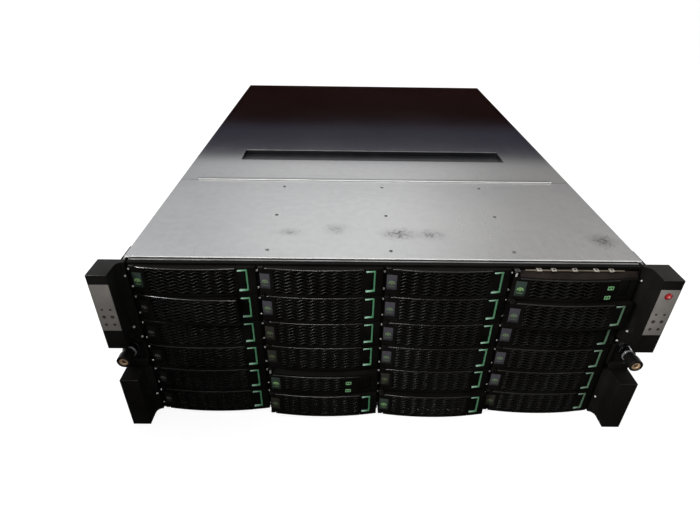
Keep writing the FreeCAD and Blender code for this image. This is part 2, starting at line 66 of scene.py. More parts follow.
MM = 0.001
COLUMNS = 4
ROWS = 6
lid_low, lid_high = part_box("front_cover")
FRONT_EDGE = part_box("chassis_tray")[0].y
LID_FRONT = (lid_low.y - FRONT_EDGE) / MM
TOP = lid_high.z / MM
SIDE = lid_high.x / MM
TO_ROW = Matrix.Translation((0, FRONT_EDGE, 0)) @ Matrix.Scale(MM, 4)
joints = {joint["name"]: joint for joint in frame["joints"]}
print("lid top", round(TOP, 1), "mm, half width", round(SIDE, 1), "mm")

# %% [markdown]
# ## Camera
# The photograph looks down on the front from a little left of the middle, through a wide lens.
# The place, the turn and the lens come from fitting the object's straight edges to the picture.
# A camera looks along its own -Z, so the three columns of its matrix are right, up and back.

# %% Camera
CAMERA_PLACE = Vector((-0.0334, FRONT_EDGE - 0.3511, 0.3967))
YAW, PITCH, ROLL = 0.0113, 0.5642, 0.0159
FOCAL_PIXELS = 489.0
IMAGE_WIDTH = 700
SENSOR = 36.0
forward = Vector((math.sin(YAW) * math.cos(PITCH), math.cos(YAW) * math.cos(PITCH), -math.sin(PITCH)))
level = Vector((math.cos(YAW), -math.sin(YAW), 0))
right = level * math.cos(ROLL) + level.cross(forward) * math.sin(ROLL)
up = right.cross(forward)
lens = bpy.data.cameras.new("camera")
lens.sensor_width = SENSOR
lens.lens = FOCAL_PIXELS / IMAGE_WIDTH * SENSOR
lens.clip_start = 0.01
camera = bpy.data.objects.new("camera", lens)
camera.matrix_world = Matrix.Translation(CAMERA_PLACE) @ Matrix((right, up, -forward)).transposed().to_4x4()
bpy.context.scene.collection.objects.link(camera)
bpy.context.scene.camera = camera
bpy.context.scene.view_settings.view_transform = "Standard"
print("lens", round(lens.lens, 2), "mm")

# %% [markdown]
# ## Shader maths as Python
# A finish is easier to read as an expression than as a web of nodes. Signal wraps one socket and
# turns + - * / into Math nodes; Finish owns one material and has one method that makes any node.
# Numbers that stay the same all over a surface are set straight on the shader.

# %% Signal
class Signal:
    """A shader socket that takes part in Python arithmetic."""

    def __init__(self, finish, socket):
        self.finish = finish
        self.socket = socket

    def math(self, operation, *values):
        return self.finish.node("ShaderNodeMath", {"operation": operation}, dict(enumerate(values)))

    def __add__(self, other):
        return self.math("ADD", self, other)

    def __sub__(self, other):
        return self.math("SUBTRACT", self, other)

    def __rsub__(self, other):
        return self.math("SUBTRACT", other, self)

    def __mul__(self, other):
        return self.math("MULTIPLY", self, other)

    def __truediv__(self, other):
        return self.math("DIVIDE", self, other)

    def __pow__(self, other):
        return self.math("POWER", self, other)

    def __abs__(self):
        return self.math("ABSOLUTE", self)

    __radd__ = __add__
    __rmul__ = __mul__

    def most(self, other):
        return self.math("MAXIMUM", self, other)

    def sine(self):
        return self.math("SINE", self)

    def rise(self, low, high):
        """0 below low, 1 above high and a smooth rise between; high may lie under low."""
        limits = {"Value": self, "From Min": low, "From Max": high}
        return self.finish.node("ShaderNodeMapRange", {"interpolation_type": "SMOOTHSTEP"}, limits)


print("signals ready")

# %% Finish
class Finish:
    """One material: a Principled shader and the nodes that feed it."""

    def __init__(self, name, **constants):
        self.material = bpy.data.materials.new(name)
        self.material.use_nodes = True
        self.tree = self.material.node_tree
        self.shader = self.tree.nodes["Principled BSDF"]
        self.set(**constants)
        self.place = self.node("ShaderNodeTexCoord", {}, {}, "Object")

    def node(self, kind, settings, inputs, output=0):
        made = self.tree.nodes.new(kind)
        for name, value in settings.items():
            setattr(made, name, value)
        for key, value in inputs.items():
            self.feed(made.inputs[key], value)
        return Signal(self, made.outputs[output])

    def feed(self, socket, value):
        if isinstance(value, Signal):
            self.tree.links.new(value.socket, socket)
        else:
            socket.default_value = value

    def set(self, **sockets):
        for key, value in sockets.items():
            self.feed(self.shader.inputs[key.replace("_", " ")], value)
        return self

    def part(self, source, letter):
        return self.node("ShaderNodeSeparateXYZ", {}, {0: source}, "XYZ".index(letter))

    def axis(self, letter):
        """One object coordinate, in metres."""
        return self.part(self.place, letter)

    def noise(self, scale, detail=2.0, stretch=(1, 1, 1), turn=0.0):
        """Soft noise, drawn out along X, Y and Z and turned about Z."""
        layout = {"Vector": self.place, "Rotation": (0, 0, turn), "Scale": stretch}
        spread = self.node("ShaderNodeMapping", {"vector_type": "TEXTURE"}, layout)
        return self.node("ShaderNodeTexNoise", {}, {"Vector": spread, "Scale": scale, "Detail": detail})

    def mix(self, share, first, second):
        return self.node("ShaderNodeMix", {"data_type": "RGBA"}, {0: share, 6: first, 7: second}, 2)

    def bump(self, height, depth):
        """Surface relief; depth is the height in metres that a value of 1 stands for."""
        return self.node("ShaderNodeBump", {}, {"Height": height, "Distance": depth, "Strength": 1.0})


def grey(value, warm=0.0):
    """A grey as RGBA, a little warmer or cooler."""
    return (value * (1 + warm), value, value * (1 - warm), 1.0)


print("finishes ready")

# %% [markdown]
# ## Studio
# The object stands on a pale floor against white. The world is white where the camera or a
# reflection sees it and dimmer as a light, so pale metal doesn't clip. A large soft lamp in front,
# above and to the left draws the highlights along the handles. Cards that the camera can't see
# stand round it: one behind gives the long lid the dark sheen that a room gives it, and those in
# front keep the black plastic black.

# %% World and lamps
AMBIENT = 0.42


class Sky(Finish):
    """The world behind everything, fed in the same way as a finish."""

    def __init__(self, world):
        world.use_nodes = True
        self.tree = world.node_tree
        self.shader = self.tree.nodes["Background"]


def in_sight(finish):
    """One where a camera, mirror or glass ray looks, and zero for soft light."""
    names = ("Is Camera Ray", "Is Glossy Ray", "Is Transmission Ray")
    seen, mirrored, through = [finish.node("ShaderNodeLightPath", {}, {}, name) for name in names]
    return seen.most(mirrored.most(through))


bpy.context.scene.world = bpy.data.worlds.new("studio")
sky = Sky(bpy.context.scene.world)
sky.set(Color=sky.mix(in_sight(sky), grey(AMBIENT), grey(1.0)))


def softbox(name, place, aim, width, height, watts, mirrored=True):
    """A soft lamp aimed at a point; one that isn't mirrored leaves no bright patch on bare metal."""
    lamp = bpy.data.lights.new(name, "AREA")
    lamp.shape = "RECTANGLE"
    lamp.size = width
    lamp.size_y = height
    lamp.energy = watts
    holder = bpy.data.objects.new(name, lamp)
    direction = Vector(aim) - Vector(place)
    holder.matrix_world = Matrix.Translation(place) @ direction.to_track_quat("-Z", "Y").to_matrix().to_4x4()
    holder.visible_glossy = mirrored
    bpy.context.scene.collection.objects.link(holder)


softbox("left_lamp", (-1.7, -1.5, 1.35), (0, -0.3, 0.1), 0.55, 0.55, 46.0)
softbox("front_lamp", (-0.25, -1.35, 1.95), (0, -0.3, 0.1), 0.7, 0.3, 6.5)
softbox("top_lamp", (0.2, 0.3, 2.2), (0, 0, 0.1), 1.8, 1.4, 12.0, mirrored=False)
print("world and three lamps")

# %% Floor and cards
FLOOR_DROP = 0.0006
CARD_DROP = 0.0003
HAZE = (0.705, 0.745)
WINDOW_SILL = (0.895, 0.925)


def stage_sheet(name, corner_low, corner_high, finish):
    """A flat rectangle for the floor or a card, from two opposite corners."""
    bm = bmesh.new()
    bmesh.ops.create_grid(bm, x_segments=1, y_segments=1, size=0.5)
    span = Vector(corner_high) - Vector(corner_low)
    wide, tall = [axis for axis in range(3) if span[axis]]
    for vert in bm.verts:
        across, along = vert.co.x + 0.5, vert.co.y + 0.5
        vert.co = corner_low
        vert.co[wide] += span[wide] * across
        vert.co[tall] += span[tall] * along
    mesh = bpy.data.meshes.new(name)
    bm.to_mesh(mesh)
    bm.free()
    mesh.materials.append(finish.material)
    sheet = bpy.data.objects.new(name, mesh)
    bpy.context.scene.collection.objects.link(sheet)
    return sheet


floor_finish = Finish("pale_floor", Base_Color=grey(0.3), Roughness=0.9, Specular_IOR_Level=0.1)
floor_glow = floor_finish.mix(in_sight(floor_finish), grey(0.0), grey(0.86))
floor_finish.set(Emission_Color=floor_glow, Emission_Strength=1.0)
stage_sheet("floor", (-4, -4, -FLOOR_DROP), (4, 5, -FLOOR_DROP), floor_finish)

card_finish = Finish("card_dark", Base_Color=grey(0.0), Roughness=1.0, Specular_IOR_Level=0.0)
card_height = card_finish.axis("Z")
behind = card_finish.axis("Y").rise(0.0, 1.0)
dim = card_finish.mix(behind, grey(0.006), (0.016, 0.006, 0.005, 1))
haze = card_finish.mix(card_height.rise(*HAZE) * behind, dim, (0.054, 0.052, 0.072, 1))
across = card_finish.axis("X")
window = card_finish.mix(across.rise(-1.0, -0.2), grey(0.69, -0.012), grey(1.0))
bright = card_finish.mix(across.rise(0.1, 1.1), window, grey(0.475, 0.02))
card_glow = card_finish.mix(card_height.rise(*WINDOW_SILL) * behind, haze, bright)
card_finish.set(Emission_Color=card_glow, Emission_Strength=1.0)
cards = {
    "back_card": ((-3, 1.9, 0.0), (3, 1.9, 2.2)),
    "front_card": ((-4, -3.2, -CARD_DROP), (4, -0.2, -CARD_DROP)),
    "front_wall": ((-4, -3.2, 0.0), (4, -3.2, 3.0)),
    "front_ceiling": ((-4, -3.2, 3.0), (4, -0.75, 3.0)),
    "left_flag": ((-0.5, -0.95, 0.0), (-0.5, -0.33, 0.40)),
}
for name, corners in cards.items():
    card = stage_sheet(name, *corners, card_finish)
    card.visible_camera = False
    card.visible_diffuse = False
    card.visible_shadow = name == "left_flag"
print("floor and cards:", ", ".join(cards))

# %% [markdown]
# ## Finishes
# Most of the object is bare zinc-coated steel, with a cloudy tone, fine spangle and long lines from the
# rolling mill. A scratch picture would repeat, so all of it is noise at three scales, drawn out along
# the sheet. The smudges on the lid are hair-fine rub marks inside soft ovals.

# %% Zinc sheet
def rubbed(finish, x, y, across, along):
    """Dark hair-fine rub marks in a soft oval on the lid, at a place in millimetres."""
    side = (finish.axis("X") - x * MM) / (across * MM)
    back = (finish.axis("Y") - FRONT_EDGE - y * MM) / (along * MM)
    far = (side * side + back * back) ** 0.5
    rising = finish.noise(800.0, 3.0, (1, 7, 1), -0.6)
    falling = finish.noise(700.0, 3.0, (1, 6, 1), 0.9)
    hair = (rising.most(falling) - 0.16 * far).rise(0.47, 0.62)
    return far.rise(1.7, 0.5) * hair * 0.75 + far.rise(1.3, 0.0) * 0.3


def zinc_sheet(name, tone, rough, relief, rubs=()):
    """Rolled zinc-coated steel; each rub is its x, y, two half widths and depth."""
    finish = Finish(name, Metallic=1.0)
    cloud = finish.noise(5.0, 4.0)
    spangle = finish.noise(130.0, 3.0)
    rolled = finish.noise(420.0, 2.0, (1, 25, 1))
    shade = (0.7 * cloud + 0.2 * spangle + 0.1 * rolled).rise(0.25, 0.75)
    colour = finish.mix(shade, grey(tone * 0.86, -0.012), grey(tone * 1.1))
    for x, y, across, along, depth in rubs:
        colour = finish.mix(depth * rubbed(finish, x, y, across, along), colour, grey(0.035, 0.05))
    finish.colour = colour
    finish.set(Base_Color=colour)
    finish.set(Roughness=rough * (1 + 0.6 * (cloud - 0.5) + 0.3 * (rolled - 0.5)))
    return finish.set(Normal=finish.bump(0.6 * rolled + 0.4 * spangle, relief))


lid_rubs = ((-86, 50, 16, 9, 0.4), (-42, 57, 13, 12, 0.55), (16, 48, 20, 13, 0.8), (46, 47, 16, 12, 0.6),
            (203, 39, 14, 14, 1.0))
zinc = zinc_sheet("zinc_sheet", 0.45, 0.42, 0.00003)
lid_zinc = zinc_sheet("lid_zinc", 0.60, 0.24, 0.00001, lid_rubs)
rear_zinc = zinc_sheet("rear_zinc", 0.45, 0.09, 0.000002)
module_zinc = zinc_sheet("module_zinc", 0.52, 0.40, 0.00003)
print("zinc sheet in four lots")

# %% [markdown]
# The controllers' rear faces are perforated for air. Real holes would cost many thousands of faces on
# a side that is seldom seen, so two crossed sine waves draw the rows of holes in the finish, as
# near-black spots that are painted shade for the dark inside of each hole, and a mask keeps them to
# the free fields of that face.

# %% Vented zinc
PULL_REACH = 18.0
MODULE_END = (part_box("psu_right")[1].y - FRONT_EDGE) / MM - PULL_REACH
VENT_START = FRONT_EDGE + (MODULE_END - 0.3) * MM
HOLE_TURN = 1100.0
VENT_INNER, VENT_OUTER, VENT_EDGE = 0.118, 0.182, 0.0005


def vented_zinc():
    """Zinc with rows of round vent holes, painted near-black as shade, on the free parts of a module's rear
    face.
    """
    finish = zinc_sheet("vented_zinc", 0.52, 0.40, 0.00003)
    across, height = finish.axis("X"), finish.axis("Z")
    rows = (across * HOLE_TURN).sine() * (height * HOLE_TURN).sine()
    inside = abs(across).rise(VENT_INNER, VENT_INNER + VENT_EDGE)
    field = inside * abs(across).rise(VENT_OUTER, VENT_OUTER - VENT_EDGE)
    hole = abs(rows).rise(0.45, 0.55) * field * finish.axis("Y").rise(VENT_START, VENT_START + 0.1 * MM)
    return finish.set(Base_Color=finish.mix(hole, finish.colour, grey(0.004)), Metallic=1.0 - hole)


module_vented = vented_zinc()
print("vented zinc for the controllers")

# %% [markdown]
# Handles, slats, beads, pads and ears are moulded black plastic, and the cage is painted black. They
# differ in grain and shine, so one function makes them all from a few numbers. Most keep a low specular
# level: under a white sky a full one would turn black to grey. The beads have a clear gloss that dust
# takes away near both ends of the front. The board at the back of the cage is one solid with it, so a
# step along Y turns the black paint to green lacquer.

# %% Black finishes
BOARD_START = FRONT_EDGE + 0.1712
DUST_LEFT, DUST_LOW, DUST_RIGHT = (-0.10, -0.12), (0.14, 0.12), (0.10, 0.13)


def black_plastic(name, tone, rough, grain, shine, dust=0.0):
    """Black moulding; a dusty kind has a clear gloss, lost low at the left and far at the right."""
    finish = Finish(name, Specular_IOR_Level=shine)
    fine = finish.noise(2600.0, 2.0)
    patch = finish.noise(28.0, 3.0)
    finish.colour = finish.mix(patch.rise(0.3, 0.75), grey(tone * 0.75, 0.12), grey(tone * 1.35, 0.06))
    sheen = rough + 0.14 * (patch - 0.5) + 0.08 * (fine - 0.5)
    if dust:
        low_left = finish.axis("X").rise(*DUST_LEFT) * finish.axis("Z").rise(*DUST_LOW)
        dusty = low_left.most(finish.axis("X").rise(*DUST_RIGHT))
        sheen = sheen + dust * dusty
        finish.set(Coat_Weight=1.0 - dusty, Coat_Roughness=0.2, Coat_IOR=1.9)
    return finish.set(Base_Color=finish.colour, Roughness=sheen, Normal=finish.bump(fine, grain))


ear_black = black_plastic("ear_black", 0.008, 0.36, 0.000008, 0.16)
handle_black = black_plastic("handle_black", 0.005, 0.40, 0.000006, 0.03)
# A lighter, shinier copy of the ear black for the top-front edges: a painted highlight.
ear_edge_highlight = black_plastic("ear_edge_highlight", 0.012, 0.30, 0.000001, 1.0)
bead_black = black_plastic("bead_black", 0.012, 0.22, 0.0000005, 0.5, 0.4)
slat_black = black_plastic("slat_black", 0.006, 0.32, 0.000001, 0.25)
pad_black = black_plastic("pad_black", 0.004, 0.5, 0.00002, 0.10)
cage_black = black_plastic("cage_black", 0.005, 0.5, 0.00002, 0.04)
board = cage_black.axis("Y").rise(BOARD_START, BOARD_START + 0.6 * MM)
copper = cage_black.noise(120.0, 3.0).rise(0.3, 0.7)
lacquer = cage_black.mix(copper, (0.008, 0.05, 0.02, 1), (0.014, 0.08, 0.034, 1))
cage_black.set(Base_Color=cage_black.mix(board, cage_black.colour, lacquer))
print("black plastics, black paint and the board's green lacquer")

# %% [markdown]
# The small parts are brass, chrome, steel, grey and green. A flat colour would look unreal on them, so
# each drifts softly between two tones, and fine noise wears its shine.

# %% Colours and bright metals
def tinted(name, dark, light, rough, shine=0.5, metal=0.0):
    """A coloured or metal surface with a soft drift of tone and fine wear in its shine."""
    finish = Finish(name, Metallic=metal, Specular_IOR_Level=shine)
    drift = finish.noise(60.0, 3.0)
    scuff = finish.noise(900.0, 2.0)
    finish.set(Base_Color=finish.mix(drift.rise(0.3, 0.7), dark + (1.0,), light + (1.0,)))
    return finish.set(Roughness=rough + 0.1 * (scuff - 0.5))


mark_green = tinted("mark_green", (0.16, 0.40, 0.17), (0.24, 0.50, 0.24), 0.4)
panel_silver = tinted("panel_silver", (0.27, 0.25, 0.23), (0.33, 0.305, 0.28), 0.38, metal=0.3)
mark_dark = tinted("mark_dark", (0.03, 0.025, 0.022), (0.06, 0.045, 0.04), 0.5)
# Near-black for the floor of the lid's finger recess, which is zinc: painted shade.
recess_shade_grey = tinted("recess_shade_grey", (0.016, 0.016, 0.019), (0.026, 0.026, 0.031), 0.35, metal=0.5)
chrome = tinted("collar_chrome", (0.6, 0.6, 0.61), (0.75, 0.75, 0.76), 0.16, metal=1.0)
brass = tinted("cup_brass", (0.46, 0.30, 0.17), (0.6, 0.41, 0.25), 0.35, metal=0.35)
brass_dark = tinted("cup_dark", (0.10, 0.06, 0.035), (0.16, 0.10, 0.06), 0.4, metal=0.3)
stud_steel = tinted("stud_steel", (0.66, 0.66, 0.64), (0.82, 0.82, 0.80), 0.3, metal=0.45)
# The collar's lip is chrome; this paler, half-metal grey is partly a painted highlight.
collar_lip_highlight = tinted("collar_lip_highlight", (0.34, 0.34, 0.35), (0.55, 0.55, 0.56), 0.22, metal=0.55)
drive_grey = tinted("drive_grey", (0.10, 0.10, 0.105), (0.16, 0.16, 0.165), 0.45, metal=0.8)
spring_beige = tinted("spring_beige", (0.11, 0.09, 0.066), (0.17, 0.14, 0.105), 0.45, metal=0.2)
# A pale tone for the spring strip's raised tabs: a painted highlight.
spring_tab_highlight = tinted("spring_tab_highlight", (0.36, 0.34, 0.29), (0.46, 0.43, 0.37), 0.4, metal=0.2)
ledge_brown = tinted("ledge_brown", (0.008, 0.006, 0.005), (0.018, 0.013, 0.011), 0.45, shine=0.13)
rivet_grey = tinted("rivet_grey", (0.12, 0.12, 0.12), (0.2, 0.2, 0.2), 0.4, metal=0.9)
# Near-white and light grey for thin strips along the zinc edges and the black rail: painted highlights.
edge_highlight_white = tinted("edge_highlight_white", (0.80, 0.80, 0.78), (0.92, 0.92, 0.90), 0.5)
rail_highlight_grey = tinted("rail_highlight_grey", (0.20, 0.20, 0.20), (0.30, 0.30, 0.30), 0.4, metal=0.6)
print("colours and bright metals")

# %% [markdown]
# ## Tools for shaping
# Most fronts here are sheets with cross lines at chosen stops: a grid operator makes the sheet, a
# loop moves its lines to the stops, unwanted cells are deleted, and an extrude gives it depth.
# Blocks and turned pieces do the rest. The last tools turn a finished bmesh into an object that
# rides on its body.

# %% Sheets
def stops(low, high, step):
    """Even stops from low to high, about one step apart."""
    count = max(1, round((high - low) / step))
    return [low + (high - low) * number / count for number in range(count + 1)]


def stop_grid(x_stops, z_stops):
    """An upright sheet that faces the viewer, with a line at every stop."""
    bm = bmesh.new()
    columns, rows = len(x_stops) - 1, len(z_stops) - 1
    bmesh.ops.create_grid(bm, x_segments=columns, y_segments=rows, size=1)
    for vert in bm.verts:
        column = round((vert.co.x + 1) / 2 * columns)
        row = round((vert.co.y + 1) / 2 * rows)
        vert.co = (x_stops[column], 0, z_stops[row])
    return bm


def cells(bm, x0, x1, z0, z1):
    """The faces whose middles lie in a rectangle of the front."""
    middles = [(face, face.calc_center_median()) for face in bm.faces]
    return [face for face, at in middles if x0 < at.x < x1 and z0 < at.z < z1]


def cut_cells(bm, x0, x1, z0, z1):
    bmesh.ops.delete(bm, geom=cells(bm, x0, x1, z0, z1), context="FACES")


def pushed(bm, faces, keep):
    """Extrudes faces and gives the new corners, still in place."""
    made = bmesh.ops.extrude_face_region(bm, geom=faces, use_keep_orig=keep)["geom"]
    return [item for item in made if isinstance(item, bmesh.types.BMVert)]


def thicken(bm, front_of, back_of):
    """Bends a sheet to its front line and closes it with a back and sides."""
    for vert in bm.verts:
        vert.co.y = front_of(vert.co.x)
    for vert in pushed(bm, bm.faces[:], True):
        vert.co.y = back_of(vert.co.x)
    bmesh.ops.recalc_face_normals(bm, faces=bm.faces[:])


print("sheet tools ready")

# %% Blocks, prisms and turned pieces
def soften(bm, offset, segments, where=None):
    """Rounds the sharp edges, or those whose middle passes a test."""
    sharp = [edge for edge in bm.edges if len(edge.link_faces) == 2 and edge.calc_face_angle() > 0.6]
    chosen = [edge for edge in sharp if where is None or where((edge.verts[0].co + edge.verts[1].co) / 2)]
    bmesh.ops.bevel(bm, geom=chosen, offset=offset, segments=segments, profile=0.5,
                    affect="EDGES", material=-1, clamp_overlap=True)


def block(low, high, offset=0.0, segments=2):
    """A box from corner to corner with softened edges."""
    bm = bmesh.new()
    size = Vector(high) - Vector(low)
    middle = (Vector(high) + Vector(low)) / 2
    bmesh.ops.create_cube(bm, size=1, matrix=Matrix.Translation(middle) @ Matrix.Diagonal(size.to_4d()))
    if offset:
        soften(bm, offset, segments)
    return bm


def prism(corners, along):
    """A closed outline pushed along a vector."""
    bm = bmesh.new()
    face = bm.faces.new([bm.verts.new(corner) for corner in corners])
    bmesh.ops.translate(bm, verts=pushed(bm, [face], True), vec=along)
    bmesh.ops.recalc_face_normals(bm, faces=bm.faces[:])
    return bm


def shift(bm, x, y, z):
    bmesh.ops.translate(bm, verts=bm.verts[:], vec=(x, y, z))
    return bm


def turn(bm, angle, axis):
    """Turns a piece about an axis through the origin."""
    bmesh.ops.rotate(bm, verts=bm.verts[:], cent=(0, 0, 0), matrix=Matrix.Rotation(angle, 3, axis))
    return bm


def turned(profile, x, z, steps=32):
    """A turned piece about a line along Y: the profile is radius and y; open ends get a flat cap."""
    is_ring = math.dist(profile[0], profile[-1]) < 0.001
    capped = profile if is_ring else [(0, profile[0][1])] + profile + [(0, profile[-1][1])]
    bm = bmesh.new()
    verts = [bm.verts.new((radius, y, 0)) for radius, y in capped]
    edges = [bm.edges.new(pair) for pair in zip(verts, verts[1:])]
    bmesh.ops.spin(bm, geom=verts + edges, cent=(0, 0, 0), axis=(0, 1, 0), angle=2 * math.pi,
                   steps=steps, use_merge=True)
    bmesh.ops.remove_doubles(bm, verts=bm.verts[:], dist=0.0005)
    bmesh.ops.recalc_face_normals(bm, faces=bm.faces[:])
    return shift(bm, x, 0, z)


def wire_ring(radius, y, wire, step):
    """The profile of a round wire bent into a ring, with a corner at every step of degrees."""
    turns = [math.radians(angle) for angle in range(0, 361, step)]
    return [(radius + wire * math.cos(angle), y + wire * math.sin(angle)) for angle in turns]


print("blocks, prisms and turned pieces ready")

# %% From bmesh to piece
def gather(finishes, *parts):
    """Joins bmesh pieces; each comes with one of the finishes, or None to keep those it has."""
    whole = bmesh.new()
    for part, finish in parts:
        for face in part.faces if finish else ():
            face.material_index = finishes.index(finish)
        loose = bpy.data.meshes.new("part")
        part.to_mesh(loose)
        whole.from_mesh(loose)
        bpy.data.meshes.remove(loose)
        part.free()
    return whole


def lay_map(bm, name, left, right, low, high):
    """A UV map over a rectangle of the front: 0 to 1 from its left edge to its right, and up it."""
    layer = bm.loops.layers.uv.new(name)
    for face in bm.faces:
        for loop in face.loops:
            at = loop.vert.co
            loop[layer].uv = ((at.x - left) / (right - left), (at.z - low) / (high - low))
    return bm


def as_mesh(name, bm, finishes, crease=35):
    """A mesh in millimetres with its finishes and smooth shading up to a crease angle."""
    mesh = bpy.data.meshes.new(name)
    bm.to_mesh(mesh)
    bm.free()
    for finish in finishes:
        mesh.materials.append(finish.material)
    mesh.shade_smooth()
    mesh.set_sharp_from_angle(angle=math.radians(crease))
    return mesh


def place_piece(name, mesh, body, place=TO_ROW):
    """Moves a mesh into the row frame and makes it a piece that rides on a body."""
    mesh.transform(place)
    piece = bpy.data.objects.new(name, mesh)
    bpy.context.scene.collection.objects.link(piece)
    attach(piece, body)
    return piece


def add_piece(name, bm, finishes, body):
    return place_piece(name, as_mesh(name, bm, finishes), body)


print("piece tools ready")

# %% [markdown]
# ## Swing handle
# Each carrier's handle is curved in plan and hinges on a pin at its left end. It has a light
# window, a bead along its top edge and a grille of wavy slats. A displaced plane would fake the
# slats; real strips keep dark gaps between them from every angle, so each slat is a narrow sheet
# whose line follows a sine wave, given depth and softened along its front.

# %% Handle sizes
BEZEL_HALF = 53.0
BEZEL_HEIGHT = 28.0
FRONT_REACH = 7.5
FRONT_SAG = 4.5
ARC = (BEZEL_HALF ** 2 + FRONT_SAG ** 2) / (2 * FRONT_SAG)
FLASH_DROP = 6.0
HANDLE_END = 36.5
HANDLE_BACK = -4.5
BARREL = 2.2
LUG_NOTCH = 1.8
LUG_END = -47.9
LUG_GAP = 0.3
BEAD = 1.7
BEAD_PROUD = 0.35
SHEET_STEP = 5.0
SLAT_PITCH = 3.5
SLAT_THICK = 1.4
SLAT_DEPTH = 2.2
SLAT_SET_BACK = 0.25
WINDOW_SET_BACK = 0.3
WAVE = 1.0
WAVE_PERIOD = 10.0
WAVE_START = 1.8
TALL = {"height": BEZEL_HEIGHT, "window": (-52.0, -43.3, 6.6, 22.0), "grille": (-40.0, 35.1)}
FLASH = {"height": BEZEL_HEIGHT - FLASH_DROP, "window": (-50.4, -41.4, 3.0, 18.6), "grille": (-38.0, 19.0)}

bay_low, bay_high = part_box("carrier_c1_r1")
bay_middle = (bay_low.x + bay_high.x) / 2
hinge_at = Vector(joints["swing_c1_r1"]["pos_m"])
HINGE_X = (hinge_at.x - bay_middle) / MM
HINGE_Y = (hinge_at.y - FRONT_EDGE) / MM
print("hinge at", round(HINGE_X, 2), round(HINGE_Y, 2), "mm from the bay's middle and the walls' front edge")

# %% [markdown]
# The whole front follows one arc in plan, so one function of x gives the place of every handle, slat
# and window. Left of the hinge the line turns into the handle's barrel.

# %% The curved front
def barrel_bulge(x):
    return math.sqrt(max(0.0, BARREL ** 2 - (x - HINGE_X) ** 2))


def front_y(x):
    """Where the curved front lies in plan; left of the hinge it follows the barrel."""
    if x < HINGE_X:
        return HINGE_Y - barrel_bulge(x)
    return ARC - FRONT_REACH - FRONT_SAG - math.sqrt(ARC ** 2 - x ** 2)


def handle_back(x):
    return HINGE_Y + barrel_bulge(x) if x < HINGE_X else HANDLE_BACK


def along_front(bm, start, end):
    """Gives a sheet depth between two distances behind the curved front."""
    thicken(bm, lambda x: front_y(x) + start, lambda x: front_y(x) + end)


def at_front(start):
    """A test for edges that lie at a distance behind the curved front, or before it."""
    return lambda at: at.y < front_y(at.x) + start + 0.05


print("front bows out to", round(front_y(0), 1), "mm")

# %% Handle frame and bead
def handle_frame(style):
    height = style["height"]
    left, right, low, high = style["window"]
    grille_left, grille_right = style["grille"]
    barrel = [HINGE_X - BARREL * math.sin(math.radians(angle)) for angle in (90, 60, 30)]
    x_stops = sorted(barrel + [HINGE_X, left, LUG_END, right] + stops(grille_left, grille_right, SHEET_STEP)
                     + stops(grille_right, HANDLE_END, SHEET_STEP)[1:])
    bm = stop_grid(x_stops, [0, LUG_NOTCH, low, high, height - LUG_NOTCH, height])
    cut_cells(bm, grille_left, grille_right, LUG_NOTCH, height - LUG_NOTCH)
    cut_cells(bm, left, right, low, high)
    cut_cells(bm, -BEZEL_HALF, LUG_END, 0, LUG_NOTCH)
    if height == BEZEL_HEIGHT:
        cut_cells(bm, -BEZEL_HALF, LUG_END, height - LUG_NOTCH, height)
    thicken(bm, front_y, handle_back)
    soften(bm, 0.35, 2, at_front(0))
    return bm


def handle_bead(style):
    """A raised round bead along the top edge, which catches the light."""
    height = style["height"]
    bm = stop_grid(stops(LUG_END + LUG_GAP, HANDLE_END, SHEET_STEP), [height - BEAD, height])
    along_front(bm, -BEAD_PROUD, 1.2)
    soften(bm, 0.8, 4)
    return bm


print("handles", TALL["height"], "and", FLASH["height"], "mm high")

# %% Slats, window and marks
MARK_PLACES = ((0, 12.0), (-0.4, 2.2))
MARK_STOPS_X = (0, 0.9, 2.3, 3.1, 4.5, 5.4)
MARK_STOPS_Z = (0, 0.9, 2.8, 3.7)


def wavy_slat(style, middle):
    grille_left, grille_right = style["grille"]
    bm = stop_grid(stops(grille_left, grille_right, WAVE_PERIOD / 10), [-SLAT_THICK / 2, SLAT_THICK / 2])
    along_front(bm, SLAT_SET_BACK, SLAT_SET_BACK + SLAT_DEPTH)
    soften(bm, 0.6, 3, at_front(SLAT_SET_BACK))
    for vert in bm.verts:
        phase = 2 * math.pi * (vert.co.x - grille_left - WAVE_START) / WAVE_PERIOD
        vert.co.z += middle + WAVE * math.sin(phase)
    return bm


def slat_middles(style):
    """Even heights of the slats between the rims, as many as the pitch leaves room for."""
    low, high = LUG_NOTCH + 0.6, style["height"] - LUG_NOTCH - 0.6
    count = round((high - low) / SLAT_PITCH)
    pitch = (high - low) / count
    return [low + pitch * (number + 0.5) for number in range(count)]


def light_window(style):
    left, right, low, high = style["window"]
    bm = stop_grid(stops(left, right, 2.2), [low, high])
    along_front(bm, WINDOW_SET_BACK, 1.6)
    soften(bm, 0.25, 2, at_front(WINDOW_SET_BACK))
    return bm


def flash_marks(start):
    """Two small green frames with a bar across, at the right of a flash drive's grille."""
    frames = []
    for across, low in MARK_PLACES:
        x_stops = [start + across + x for x in MARK_STOPS_X]
        z_stops = [low + z for z in MARK_STOPS_Z]
        bm = stop_grid(x_stops, z_stops)
        cut_cells(bm, *x_stops[1:3], *z_stops[1:3])
        cut_cells(bm, *x_stops[3:5], *z_stops[1:3])
        along_front(bm, -0.15, 0.8)
        frames.append((bm, mark_green))
    return frames


print("slats on a tall handle:", len(slat_middles(TALL)))
